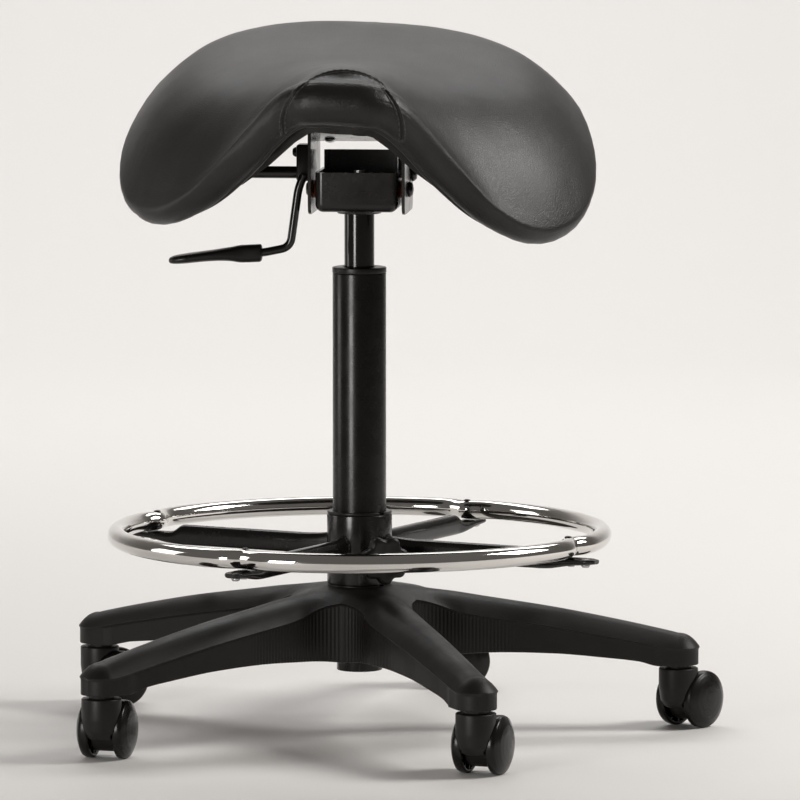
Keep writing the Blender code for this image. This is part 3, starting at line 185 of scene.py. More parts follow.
# how steeply the top runs down into the rim, in radians below level
RIM_LEAN = (0.12, 0.14, 0.30, 0.62, 0.95, 1.10, 1.18, 1.20, 1.12, 0.98, 0.80, 0.62, 0.48,
            0.42, 0.40)


# ================================================================ mesh helpers
def add_grid(bm, rows, close_rows=False, close_cols=False):
    """Faces between rows of vertices, optionally wrapping round either way."""
    n, m = len(rows), len(rows[0])
    for i in range(n if close_rows else n - 1):
        a, b = rows[i], rows[(i + 1) % n]
        for j in range(m if close_cols else m - 1):
            k = (j + 1) % m
            quad = []
            for v in (a[j], a[k], b[k], b[j]):
                if v not in quad:
                    quad.append(v)
            if len(quad) > 2:
                bm.faces.new(quad)


def lathe(profile, segments, matrix=None, phase=0.0):
    """Closed body turned about Z from (radius, z) points; ends on the axis become poles."""
    bm = bmesh.new()
    cols = []
    for i in range(segments):
        a = phase + 2.0 * math.pi * i / segments
        cols.append([(r * math.cos(a), r * math.sin(a), z) for r, z in profile])
    poles = {j: bm.verts.new((0.0, 0.0, z)) for j, (r, z) in enumerate(profile) if r == 0.0}
    rows = [[poles[j] if j in poles else bm.verts.new(p) for j, p in enumerate(col)] for col in cols]
    closed = not poles
    if closed:
        rows = [row + [row[0]] for row in rows]
    add_grid(bm, rows, close_rows=True)
    if matrix is not None:
        bm.transform(matrix)
    return bm


def split_lathe(profile, segments, start, end):
    """A turned body that stops short of a full turn, so that it has a slot down one side."""
    bm = bmesh.new()
    rows = []
    for i in range(segments + 1):
        a = start + (end - start) * i / segments
        rows.append([bm.verts.new((r * math.cos(a), r * math.sin(a), z)) for r, z in profile])
    add_grid(bm, rows, close_cols=True)
    bm.faces.new(rows[0])
    bm.faces.new(list(reversed(rows[-1])))
    return bm


def loft(loops, matrix=None):
    """Closed body through equal loops of points, capped at both ends."""
    bm = bmesh.new()
    rows = [[bm.verts.new(p) for p in loop] for loop in loops]
    add_grid(bm, rows, close_cols=True)
    bm.faces.new(rows[0])
    bm.faces.new(list(reversed(rows[-1])))
    if matrix is not None:
        bm.transform(matrix)
    return bm


def superellipse(cx, cy, half_w, half_h, power, count):
    """Points of a rounded rectangle about (cx, cy)."""
    pts = []
    for i in range(count):
        a = 2.0 * math.pi * (i + 0.5) / count
        c, s = math.cos(a), math.sin(a)
        e = 2.0 / power
        pts.append((cx + half_w * math.copysign(abs(c) ** e, c),
                    cy + half_h * math.copysign(abs(s) ** e, s)))
    return pts


def sweep(path, radii, sides, closed=False, squash=1.0):
    """Round bar along a path; `radii` is one radius or one per point."""
    pts = [Vector(p) for p in path]
    n = len(pts)
    if not isinstance(radii, (list, tuple)):
        radii = [radii] * n
    bm = bmesh.new()
    rows = []
    normal = None
    for i, p in enumerate(pts):
        before = pts[(i - 1) % n] if closed or i else pts[0]
        after = pts[(i + 1) % n] if closed or i < n - 1 else pts[-1]
        tangent = (after - before).normalized()
        if normal is None:
            seed = Vector((0, 0, 1)) if abs(tangent.z) < 0.9 else Vector((0, 1, 0))
            normal = (seed - tangent * seed.dot(tangent)).normalized()
        else:
            normal = (normal - tangent * normal.dot(tangent)).normalized()
        side = tangent.cross(normal)
        row = []
        for k in range(sides):
            a = 2.0 * math.pi * k / sides
            row.append(bm.verts.new(p + normal * (math.cos(a) * radii[i] * squash)
                                    + side * (math.sin(a) * radii[i])))
        rows.append(row)
    add_grid(bm, rows, close_rows=closed, close_cols=True)
    if not closed:
        bm.faces.new(rows[0])
        bm.faces.new(list(reversed(rows[-1])))
    return bm


def rounded_path(corners, radius, steps=4):
    """A polyline whose inner corners are replaced with arcs."""
    pts = [Vector(c) for c in corners]
    out = [pts[0]]
    for i in range(1, len(pts) - 1):
        a, b, c = pts[i - 1], pts[i], pts[i + 1]
        u, v = (a - b).normalized(), (c - b).normalized()
        start, end = b + u * radius, b + v * radius
        for k in range(steps + 1):
            t = k / steps
            out.append(start * (1 - t) ** 2 + b * (2 * t * (1 - t)) + end * t ** 2)
    out.append(pts[-1])
    return out


def box(low, high, bevel=0.0, segments=2):
    bm = bmesh.new()
    bmesh.ops.create_cube(bm, size=1.0)
    size = Vector(high) - Vector(low)
    mid = (Vector(high) + Vector(low)) / 2
    bm.transform(Matrix.Translation(mid) @ Matrix.Diagonal((*size, 1.0)))
    if bevel:
        bmesh.ops.bevel(bm, geom=bm.edges[:], offset=bevel, segments=segments, profile=0.5,
                        affect="EDGES")
    return bm


def combine(base, others, operation):
    """Exact boolean of one bmesh with others; all of them are used up."""
    holders = []
    for bm in [base] + others:
        bmesh.ops.recalc_face_normals(bm, faces=bm.faces)
        mesh = bpy.data.meshes.new("operand")
        bm.to_mesh(mesh)
        bm.free()
        obj = bpy.data.objects.new("operand", mesh)
        bpy.context.scene.collection.objects.link(obj)
        holders.append(obj)
    for other in holders[1:]:
        mod = holders[0].modifiers.new("cut", "BOOLEAN")
        mod.solver = "EXACT"
        mod.operation = operation
        mod.object = other
    graph = bpy.context.evaluated_depsgraph_get()
    result = bmesh.new()
    result.from_mesh(holders[0].evaluated_get(graph).to_mesh())
    for obj in holders:
        mesh = obj.data
        bpy.data.objects.remove(obj, do_unlink=True)
        bpy.data.meshes.remove(mesh)
    bmesh.ops.remove_doubles(result, verts=result.verts, dist=0.00001)
    bmesh.ops.dissolve_degenerate(result, edges=result.edges, dist=0.00001)
    return result


def along_x(x=0.0, y=0.0, z=0.0):
    """Turns a body made about Z so that it lies about X."""
    return Matrix.Translation((x, y, z)) @ Matrix.Rotation(math.pi / 2, 4, "Y")


def along_y(x=0.0, y=0.0, z=0.0):
    return Matrix.Translation((x, y, z)) @ Matrix.Rotation(-math.pi / 2, 4, "X")


def mirror_x(sign):
    return Matrix.Diagonal((sign, 1.0, 1.0, 1.0))


def filleted(corners, radius, steps=3):
    """Flat outline whose inner corners are rounded; the radius shrinks where a side is short."""
    pts = [Vector((a, b, 0.0)) for a, b in corners]
    out = [corners[0]]
    for before, corner, after in zip(pts, pts[1:], pts[2:]):
        back, on = before - corner, after - corner
        r = min(radius, back.length * 0.45, on.length * 0.45)
        start, end = corner + back.normalized() * r, corner + on.normalized() * r
        for k in range(steps + 1):
            t = k / steps
            p = start * (1 - t) ** 2 + corner * (2 * t * (1 - t)) + end * t ** 2
            out.append((p.x, p.y))
    out.append(corners[-1])
    return out


def turned(profile, segments, radius=0.0004, matrix=None, steps=3):
    """A turned body with its corners eased."""
    closed = profile[0][0] > 0.0
    outline = filleted(list(profile) + ([profile[0]] if closed else []), radius, steps)
    return lathe(outline[:-1] if closed else outline, segments, matrix)


def smooth_table(table, x):
    """Curved reading of (x, value) pairs, without overshoot."""
    n = len(table)
    if x <= table[0][0]:
        return table[0][1]
    if x >= table[-1][0]:
        return table[-1][1]
    k = next(i for i in range(n - 1) if x <= table[i + 1][0])
    slopes = [(table[i + 1][1] - table[i][1]) / (table[i + 1][0] - table[i][0]) for i in range(n - 1)]

    def tangent(i):
        if i in (0, n - 1):
            return slopes[0] if i == 0 else slopes[-1]
        a, b = slopes[i - 1], slopes[i]
        return 0.0 if a * b <= 0 else 2 * a * b / (a + b)

    (x0, y0), (x1, y1) = table[k], table[k + 1]
    h = x1 - x0
    t = (x - x0) / h
    return (y0 * (1 + 2 * t) * (1 - t) ** 2 + tangent(k) * h * t * (1 - t) ** 2
            + y1 * t * t * (3 - 2 * t) + tangent(k + 1) * h * t * t * (t - 1))


def add(name, bm, mat, body, replaces=(), place=COLUMN, sharp=35.0, levels=0):
    """Turns a bmesh into a piece that rides on a CAD body."""
    bmesh.ops.remove_doubles(bm, verts=bm.verts, dist=0.00001)
    bmesh.ops.recalc_face_normals(bm, faces=bm.faces)
    bm.transform(place)
    mesh = bpy.data.meshes.new(name)
    bm.to_mesh(mesh)
    bm.free()
    for poly in mesh.polygons:
        poly.use_smooth = True
    mesh.set_sharp_from_angle(angle=math.radians(sharp))
    mesh.materials.append(mat)
    obj = bpy.data.objects.new(name, mesh)
    bpy.context.scene.collection.objects.link(obj)
    if levels:
        rounder = obj.modifiers.new("round", "SUBSURF")
        rounder.levels = rounder.render_levels = levels
    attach(obj, body)
    if replaces:
        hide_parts(*replaces)
    return obj


def joined(parts):
    """Several bodies as one mesh."""
    bm = bmesh.new()
    for part in parts:
        mesh = bpy.data.meshes.new("part")
        part.to_mesh(mesh)
        part.free()
        bm.from_mesh(mesh)
        bpy.data.meshes.remove(mesh)
    return bm


# ================================================================ materials
class Surface:
    """A Principled material with shorthand for building its procedural detail."""

    def __init__(self, name, roughness, metallic=0.0, **sockets):
        self.mat = bpy.data.materials.new(name)
        self.mat.use_nodes = True
        self.tree = self.mat.node_tree
        self.shader = next(n for n in self.tree.nodes if n.type == "BSDF_PRINCIPLED")
        self.shader.inputs["Roughness"].default_value = roughness
        self.shader.inputs["Metallic"].default_value = metallic
        for socket, value in sockets.items():
            self.shader.inputs[socket.replace("_", " ")].default_value = value
        self.coords = self.tree.nodes.new("ShaderNodeTexCoord").outputs["Object"]
        self.bump = None

    def node(self, kind, inputs=(), **settings):
        made = self.tree.nodes.new("ShaderNode" + kind)
        for key, value in settings.items():
            setattr(made, key, value)
        for key, value in dict(inputs).items():
            if isinstance(value, bpy.types.NodeSocket):
                self.tree.links.new(value, made.inputs[key])
            else:
                made.inputs[key].default_value = value
        return made

    def stretched(self, scale):
        return self.node("Mapping", {"Vector": self.coords, "Scale": scale}).outputs["Vector"]

    def grain(self, scale, detail=3.0, roughness=0.55, vector=None, distortion=0.0):
        made = self.node("TexNoise", {"Vector": vector or self.coords, "Scale": scale, "Detail": detail,
                                      "Roughness": roughness, "Distortion": distortion})
        return made.outputs["Fac"]

    def cells(self, scale, feature="F1", smooth=0.4, vector=None):
        inputs = {"Vector": vector or self.coords, "Scale": scale}
        if feature == "SMOOTH_F1":
            inputs["Smoothness"] = smooth
        return self.node("TexVoronoi", inputs, feature=feature).outputs["Distance"]

    def range(self, value, low, high, to_low, to_high):
        return self.node("MapRange", {"Value": value, "From Min": low, "From Max": high,
                                      "To Min": to_low, "To Max": to_high}).outputs["Result"]

    def ramp(self, value, *stops):
        made = self.node("ValToRGB", {"Fac": value})
        elements = made.color_ramp.elements
        while len(elements) < len(stops):
            elements.new(0.5)
        for element, (place, color) in zip(elements, stops):
            element.position = place
            element.color = (*color, 1.0)
        return made.outputs["Color"]

    def math(self, operation, a, b):
        return self.node("Math", {0: a, 1: b}, operation=operation).outputs["Value"]

    def relief(self, height, depth, strength=1.0):
        """Adds a layer of bump, `depth` metres high."""
        inputs = {"Height": height, "Distance": depth, "Strength": strength}
        if self.bump:
            inputs["Normal"] = self.bump
        self.bump = self.node("Bump", inputs).outputs["Normal"]
        self.tree.links.new(self.bump, self.shader.inputs["Normal"])

    def drive(self, socket, value):
        self.tree.links.new(value, self.shader.inputs[socket])
        return self


def shades(color, spread):
    """A darker and a lighter version of a colour."""
    return tuple(c * (1 - spread) for c in color), tuple(c * (1 + spread) for c in color)


def edge_wear(surface, color, worn, amount):
    """Colour that lightens on convex edges, broken up by noise."""
    pointiness = surface.node("NewGeometry").outputs["Pointiness"]
    edges = surface.range(pointiness, 0.52, 0.62, 0.0, amount)
    broken = surface.math("MULTIPLY", edges, surface.grain(90.0, 5.0))
    return surface.node("MixRGB", {"Fac": broken, "Color1": color, "Color2": (*worn, 1.0)}).outputs["Color"]


def moulded(name, color, roughness, grain_size, depth, worn=0.10):
    """Textured nylon or plastic: fine spark-eroded grain, faint mottling and dust."""
    s = Surface(name, roughness, Specular_IOR_Level=0.28)
    dark, light = shades(color, 0.16)
    base = s.ramp(s.grain(14.0, 5.0, 0.6), (0.3, dark), (0.7, light))
    s.drive("Base Color", edge_wear(s, base, tuple(c * 3.2 + worn * 0.2 for c in color), 0.35))
    s.drive("Roughness", s.range(s.grain(30.0, 4.0), 0.3, 0.7, roughness - 0.07, roughness + 0.08))
    s.relief(s.cells(1.0 / grain_size, "SMOOTH_F1"), depth)
    s.relief(s.grain(0.6 / grain_size, 3.0), depth * 0.7)
    return s.mat


def painted(name, color, roughness, coat, peel=0.00003, worn=(0.14, 0.13, 0.12)):
    """Stove enamel on steel: orange peel, small variations in gloss, edges rubbed thin."""
    s = Surface(name, roughness, Specular_IOR_Level=0.28, Coat_Weight=coat, Coat_Roughness=0.12)
    dark, light = shades(color, 0.12)
    base = s.ramp(s.grain(22.0, 4.0), (0.3, dark), (0.7, light))
    s.drive("Base Color", edge_wear(s, base, worn, 0.45))
    s.drive("Roughness", s.range(s.grain(55.0, 4.0), 0.3, 0.7, roughness - 0.05, roughness + 0.06))
    s.relief(s.grain(520.0, 2.0), peel)
    s.relief(s.grain(1900.0, 1.0), peel * 0.3)
    return s.mat


def chrome(name):
    """Bright plating: faint swirls of polish and a few water marks."""
    s = Surface(name, 0.05, 1.0)
    s.drive("Base Color", s.ramp(s.grain(7.0, 4.0), (0.3, (0.66, 0.64, 0.61)), (0.7, (0.78, 0.765, 0.74))))
    streaks = s.grain(60.0, 6.0, 0.7, s.stretched((1.0, 1.0, 7.0)))
    s.drive("Roughness", s.range(streaks, 0.35, 0.75, 0.035, 0.11))
    s.relief(s.grain(18.0, 2.0), 0.00008)
    return s.mat


def bright_steel(name):
    """Turned and zinc-plated steel with fine tool marks."""
    s = Surface(name, 0.3, 1.0, Anisotropic=0.5)
    s.drive("Base Color", s.ramp(s.grain(80.0, 3.0), (0.3, (0.46, 0.46, 0.47)), (0.7, (0.60, 0.60, 0.61))))
    lines = s.grain(90.0, 4.0, 0.6, s.stretched((1.0, 1.0, 30.0)))
    s.drive("Roughness", s.range(lines, 0.3, 0.7, 0.22, 0.42))
    s.relief(lines, 0.00001)
    return s.mat


def vinyl(name, color, roughness):
    """Upholstery vinyl: pebbled grain in uneven cells, fine pores, rubbed sheen, and painted shade darkening the
    creases between cells.
    """
    s = Surface(name, roughness, Specular_IOR_Level=0.36, Coat_Weight=0.04, Coat_Roughness=0.3,
                Sheen_Weight=0.02, Sheen_Roughness=0.5)
    warp = s.grain(40.0, 2.0)
    bent = s.node("VectorMath", {0: s.coords, 1: s.node("CombineXYZ", {
        0: s.math("MULTIPLY", warp, 0.004), 1: s.math("MULTIPLY", warp, 0.003), 2: 0.0,
    }).outputs["Vector"]}, operation="ADD").outputs["Vector"]
    pebbles = s.cells(720.0, "SMOOTH_F1", 0.25, bent)
    creases = s.cells(430.0, "DISTANCE_TO_EDGE", vector=bent)
    crease = s.range(creases, 0.0, 0.16, 0.0, 1.0)
    dark, light = shades(color, 0.22)
    mottled = s.ramp(s.grain(9.0, 6.0, 0.6), (0.3, dark), (0.72, light))
    # painted shade: the creases between the pebbles are mixed towards a colour at 0.45 of the base, darker in the
    # crease bottoms
    crease_painted_shade = s.node("MixRGB", {"Fac": s.range(crease, 0.0, 1.0, 0.35, 0.0), "Color1": mottled,
                               "Color2": (*tuple(c * 0.45 for c in color), 1.0)}).outputs["Color"]
    s.drive("Base Color", crease_painted_shade)
    wear = s.grain(6.0, 5.0, 0.65)
    s.drive("Roughness", s.range(wear, 0.3, 0.72, roughness - 0.05, roughness + 0.07))
    s.relief(crease, 0.00011, 0.75)
    s.relief(pebbles, 0.00006, 0.7)
    s.relief(s.grain(2600.0, 2.0), 0.000012)
    s.relief(s.grain(26.0, 4.0, 0.6), 0.0009, 0.55)
    return s.mat


def thread(name, color):
    """Twisted polyester thread."""
    s = Surface(name, 0.55, Sheen_Weight=0.3)
    dark, light = shades(color, 0.3)
    s.drive("Base Color", s.ramp(s.grain(900.0, 2.0), (0.3, dark), (0.7, light)))
    twist = s.node("TexWave", {"Vector": s.coords, "Scale": 900.0, "Distortion": 2.0})
    s.relief(twist.outputs["Fac"], 0.0001)
    return s.mat


def plywood(name):
    """Pressed veneers under a thin black stain: open grain on the face, plies at the edge."""
    s = Surface(name, 0.5, Specular_IOR_Level=0.3)
    fibres = s.grain(26.0, 7.0, 0.65, s.stretched((9.0, 1.0, 9.0)), 0.4)
    plies = s.node("TexWave", {"Vector": s.coords, "Scale": 190.0, "Distortion": 1.2, "Detail": 2.0},
                   bands_direction="Z").outputs["Fac"]
    face = s.ramp(fibres, (0.25, (0.0060, 0.0050, 0.0044)), (0.75, (0.0160, 0.0125, 0.0100)))
    s.drive("Base Color", s.node("MixRGB", {"Fac": s.range(plies, 0.0, 0.25, 0.35, 0.0), "Color1": face,
                                            "Color2": (0.004, 0.003, 0.003, 1.0)}).outputs["Color"])
    s.drive("Roughness", s.range(fibres, 0.3, 0.7, 0.42, 0.62))
    s.relief(fibres, 0.00015)
    return s.mat


MATS = {
    "base_nylon": moulded("base_nylon", (0.0088, 0.0072, 0.0064), 0.46, 0.0011, 0.00010),
    "caster_nylon": moulded("caster_nylon", (0.0086, 0.0071, 0.0064), 0.40, 0.0009, 0.00004),
    "wheel_nylon": moulded("wheel_nylon", (0.0066, 0.0052, 0.0045), 0.25, 0.0020, 0.00001),
    "steel_pin": bright_steel("steel_pin"),
    "dark_pin": painted("dark_pin", (0.0050, 0.0042, 0.0038), 0.38, 0.0),
    "column_paint": painted("column_paint", (0.0052, 0.0040, 0.0034), 0.27, 0.1),
    "gas_gloss": painted("gas_gloss", (0.0042, 0.0032, 0.0027), 0.14, 0.4, 0.00001),
    "black_plastic": moulded("black_plastic", (0.0070, 0.0058, 0.0052), 0.34, 0.0010, 0.00003),
    "chrome": chrome("chrome"),
    "spoke_paint": painted("spoke_paint", (0.0058, 0.0047, 0.0042), 0.24, 0.2),
    "bracket_paint": painted("bracket_paint", (0.0062, 0.0048, 0.0041), 0.24, 0.25),
    "orange_nylon": moulded("orange_nylon", (0.52, 0.11, 0.025), 0.42, 0.0008, 0.00003, 0.3),
    "rod_paint": painted("rod_paint", (0.0052, 0.0042, 0.0037), 0.18, 0.4),
    "grip_plastic": moulded("grip_plastic", (0.0080, 0.0070, 0.0064), 0.34, 0.0008, 0.00003),
    "seat_vinyl": vinyl("seat_vinyl", (0.0100, 0.0086, 0.0079), 0.36),
    "seat_thread": thread("seat_thread", (0.0080, 0.0070, 0.0065)),
    "shell_ply": plywood("shell_ply"),
}


# ================================================================ star base
FLUTE_PITCH = 0.0034
FLUTE_DEPTH = 0.00042
FLUTE_END = 0.150
VALLEY_SHARPNESS = 330.0        # per metre; lower makes a wider hollow between two arms
SECTOR = math.pi / ARM_COUNT
VALLEY = VALLEY_R / math.cos(SECTOR) * 0.92
HEIGHTS = ((0.0, HUB_TOP), (0.040, HUB_TOP), (0.080, 0.1325), (0.120, 0.1262), (0.180, 0.1165),
           (0.240, 0.1045), (0.280, 0.0955), (0.300, 0.0905), (0.312, 0.0862), (0.320, 0.0800))
CROWNS = ((0.030, 0.0150), (0.080, 0.0160), (0.180, 0.0165), (0.280, 0.0150), (0.305, 0.0120),
          (0.320, 0.0030))
LOWS = ((0.035, HUB_LOW), (0.070, 0.0735), (0.130, 0.0758), (0.180, 0.0742), (0.230, 0.0695),
        (0.262, 0.0655), (0.279, TIP_LOW), (0.330, TIP_LOW))
HALVES = ((0.100, 0.0268), (0.160, 0.0238), (0.230, 0.0212), (0.280, ARM_TIP_W), (ARM_STEM_R, ARM_TIP_W))


def star_xy(arm, along, across):
    a = ARM_START + 2.0 * math.pi * arm / ARM_COUNT
    c, s = math.cos(a), math.sin(a)
    return along * c - across * s, along * s + across * c


def arm_half(r):
    """Half width of an arm: a fillet out of the valley, a slow taper, a round nose."""
    if r > ARM_STEM_R:
        return math.sqrt(max(ARM_TIP_W ** 2 - (r - ARM_STEM_R) ** 2, 0.0))
    start, end = VALLEY * math.cos(SECTOR), 0.100
    if r >= end:
        return smooth_table(HALVES, r)
    y0, y1 = VALLEY * math.sin(SECTOR), HALVES[0][1]
    t = min(max((r - start) / (end - start), 0.0), 1.0)
    h = end - start
    steep = -1.0 / math.tan(SECTOR)
    return (y0 * (1 + 2 * t) * (1 - t) ** 2 + steep * 0.8 * h * t * (1 - t) ** 2
            + y1 * t * t * (3 - 2 * t) - 0.05 * h * t * t * (t - 1))


def outline_stations():
    """Radii along an arm's side with the distance walked, closely spaced where it is fluted."""
    out, walked = [], 0.0
    r, step = VALLEY * math.cos(SECTOR), 0.00002
    last = r
    mark = 0.0
    while r < 0.3196:
        run = math.hypot(step, arm_half(r + step) - arm_half(r))
        walked += run
        r += step
        wanted = FLUTE_PITCH / 6 if r < FLUTE_END else (0.0045 if r < 0.296 else 0.0019)
        if walked - mark >= wanted and r - last > 0.0001:
            out.append((r, walked))
            mark, last = walked, r
    return out


def one_arm_height(along, across):
    """Height of one arm's crown; it also covers the hub and falls away outside the arm."""
    if along > ARM_STEM_R:
        edge = math.hypot(along - ARM_STEM_R, across) / ARM_TIP_W
        along = ARM_STEM_R
    elif along > VALLEY * math.cos(SECTOR):
        edge = abs(across) / arm_half(along)
    else:
        edge = abs(across) / (VALLEY * math.sin(SECTOR) + (VALLEY * math.cos(SECTOR) - along) * 0.75)
    return smooth_table(HEIGHTS, along) - smooth_table(CROWNS, along) * min(edge, 1.6) ** 2.3


def star_height(along, across):
    """Crown height where an arm blends into its two neighbours with a hollow fillet."""
    own = one_arm_height(along, across)
    if along > 0.110:
        return own
    total = 1.0
    for turn in (-1, 1):
        a = turn * 2.0 * SECTOR
        c, s = math.cos(a), math.sin(a)
        near = one_arm_height(max(along * c + across * s, 0.0), -along * s + across * c)
        total += math.exp(min((near - own) * VALLEY_SHARPNESS, 40.0))
    return own + math.log(total) / VALLEY_SHARPNESS


def build_star():
    """Crowned five-arm shell with a rolled lip, fluted walls and ribbed pockets below."""
    stations = outline_stations()
    laterals = [math.sin(math.pi * (k / 12 - 0.5)) for k in range(13)]
    rings = [0.020 + (VALLEY - 0.020) * k / 9 for k in range(10)]
    bm = bmesh.new()
    rows = []
    for r in rings:
        row = []
        for arm in range(ARM_COUNT):
            for u in laterals[:-1]:
                along, across = r * math.cos(SECTOR * u), r * math.sin(SECTOR * u)
                row.append(bm.verts.new((*star_xy(arm, along, across), star_height(along, across))))
        rows.append(row)
    add_grid(bm, rows, close_cols=True)
    bm.faces.new(rows[0])
    m = len(laterals) - 1
    rims = []
    for arm in range(ARM_COUNT):
        lines = [[rows[-1][(arm * m + k) % (ARM_COUNT * m)] for k in range(m + 1)]]
        for r, _ in stations:
            line = []
            for u in laterals:
                fade = max(0.0, 1 - (r - VALLEY * 0.81) / 0.06)
                bulge = (VALLEY - VALLEY * math.cos(SECTOR)) * (1 - u * u) * fade
                along, across = r + bulge, arm_half(r) * u
                line.append(bm.verts.new((*star_xy(arm, along, across), star_height(along, across))))
            lines.append(line)
        add_grid(bm, lines)
        rims.append(lines)
    add_walls(bm, rims, stations)
    return cut_star(bm)


def add_walls(bm, rims, stations):
    """Rolls the crown's lip under, drops the fluted walls and closes the flat underside."""
    steps = ((0.0004, 0.0007), (0.0012, 0.0013), (0.0021, 0.0016), (0.0026, 0.0024), (0.0028, 0.0040))
    loops = [[] for _ in range(len(steps) + 3)]
    top = []
    last = len(stations)
    for arm, lines in enumerate(rims):
        side_list = [(0, k, -1) for k in range(len(lines) - 1)]
        side_list += [(j, last, 0) for j in range(len(lines[-1]))]
        side_list += [(len(lines[0]) - 1, k, 1) for k in range(len(lines) - 2, 0, -1)]
        for j, k, sign in side_list:
            vert = lines[k][j]
            top.append(vert)
            r, walked = stations[k - 1] if k else (VALLEY * math.cos(SECTOR), 0.0)
            if sign == 0:
                sign = -1 + 2 * j / (len(lines[-1]) - 1)
            fade = max(0.0, min(1.0, (FLUTE_END - r) / 0.02))
            flute = FLUTE_DEPTH * fade * (0.5 - 0.5 * math.cos(2 * math.pi * walked / FLUTE_PITCH))
            low = smooth_table(LOWS, r)
            hold = 1.0 if r < 0.277 else 0.35
            turned_under = [(0.0028, None), (0.0030, -1), (0.0038, -2)]
            for loop, (inset, drop) in zip(loops, list(steps) + turned_under):
                inward = inset * hold + (flute if inset >= 0.0026 else 0.0)
                foot = {None: low + 0.0014, -1: low + 0.0004, -2: low}
                z = vert.co.z - drop if drop and drop > 0 else foot[drop]
                z = max(z, low + 0.0002) if drop and drop > 0 else z
                if sign == 0 or abs(sign) < 1 and k == last or r > ARM_STEM_R:
                    cx, cy = star_xy(arm, ARM_STEM_R, 0.0)
                    out = Vector((vert.co.x - cx, vert.co.y - cy, 0.0)).normalized()
                    p = vert.co - out * inward
                else:
                    slope = (arm_half(r + 0.0005) - arm_half(r - 0.0005)) / 0.001
                    norm = math.hypot(1.0, slope)
                    out = Vector((vert.co.x / VALLEY, vert.co.y / VALLEY, 0.0))
                    if k:
                        a = ARM_START + 2.0 * math.pi * arm / ARM_COUNT
                        out = Matrix.Rotation(a, 3, "Z") @ Vector((-slope / norm, sign / norm, 0.0))
                    p = vert.co - out * inward
                loop.append(bm.verts.new((p.x, p.y, z)))
    add_grid(bm, [top] + loops, close_cols=True)
    close_underside(bm, loops[-1], last)


def close_underside(bm, loop, last):
    """Strips across each arm and one face under the hub."""
    per_arm = len(loop) // ARM_COUNT
    hub = []
    for arm in range(ARM_COUNT):
        ring = [loop[(arm * per_arm + k) % len(loop)] for k in range(per_arm + 1)]
        hub.append(ring[0])
        for k in range(0, last):
            a, b = ring[k], ring[k + 1]
            c, d = ring[-1 - k - 1], ring[-1 - k]
            quad = []
            for v in (a, b, c, d):
                if v not in quad:
                    quad.append(v)
            if k == last - 1:
                continue
            bm.faces.new(quad)
        bm.faces.new(ring[last - 1:per_arm - last + 2])
    bm.faces.new(hub)


def arm_pocket(arm, r0, r1):
    """Hollow under an arm between two of its cross ribs, an even wall inside the arm's sides."""
    loops = []
    radii = [r0 + (r1 - r0) * k / 7 for k in range(8)]
    for depth, shrink in ((-0.004, 0.0), (0.6, 0.0006), (1.0, 0.0016)):
        loop = []
        for sign, order in ((-1, radii), (1, reversed(radii))):
            for r in order:
                pull = shrink if r == r0 else (-shrink if r == r1 else 0.0)
                side = arm_half(r) - LIP - WALL - shrink
                ceiling = smooth_table(HEIGHTS, r) - smooth_table(CROWNS, r) - 0.001
                floor = smooth_table(LOWS, r)
                z = floor - 0.004 if depth < 0 else floor + (ceiling - floor) * depth
                loop.append((*star_xy(arm, r + pull, sign * side), z))
        loops.append(loop)
    return loft(loops)


def cut_star(body):
    bore = lathe(((0.0, TUBE_LOW - 0.02), (TUBE_FOOT_R + GAP, TUBE_LOW - 0.02),
                  (TUBE_FOOT_R + GAP, HUB_LOW + 0.004), (TUBE_R + GAP, TUBE_TAPER),
                  (TUBE_R + GAP, HUB_TOP + 0.02), (0.0, HUB_TOP + 0.02)), 72)
    cuts = [bore]
    for arm in range(ARM_COUNT):
        for r0, r1 in ((0.064, 0.108), (0.1115, 0.188), (0.1915, 0.272)):
            cuts.append(arm_pocket(arm, r0, r1))
    add("star_base_shell", combine(body, cuts, "DIFFERENCE"), MATS["base_nylon"], "base",
        ("star_base",), sharp=34.0)


# ================================================================ casters
def caster_housing():
    """Barrel with a rounded foot, its hood lip and the web between the wheels."""
    t = CASTER_TRAIL
    barrel = turned(((0.0, CASTER_LOW), (0.0125, CASTER_LOW + 0.0006), (0.0170, CASTER_LOW + 0.0075),
                     (CASTER_R, CASTER_LOW + 0.0190), (CASTER_R, CASTER_TOP), (0.0, CASTER_TOP)),
                    72, 0.0016, steps=4)
    web = turned(((0.0, -CASTER_WEB), (0.0205, -CASTER_WEB), (0.0205, CASTER_WEB), (0.0, CASTER_WEB)),
                 64, 0.0010, along_y(t, 0.0, WHEEL_R))
    body = combine(barrel, [web], "UNION")
    cuts = []
    for sign in (-1, 1):
        near, far = sign * (CASTER_WEB + 0.0001), sign * 0.040
        cuts.append(lathe(((0.0, near), (WHEEL_R + 0.0009, near), (WHEEL_R + 0.0009, far), (0.0, far)),
                          72, along_y(t, 0.0, WHEEL_R)))
    cuts.append(lathe(((0.0, CASTER_TOP - 0.016), (STEM_R + GAP, CASTER_TOP - 0.016),
                       (STEM_R + GAP, CASTER_TOP + 0.01), (0.0, CASTER_TOP + 0.01)), 24))
    return combine(body, cuts, "DIFFERENCE")


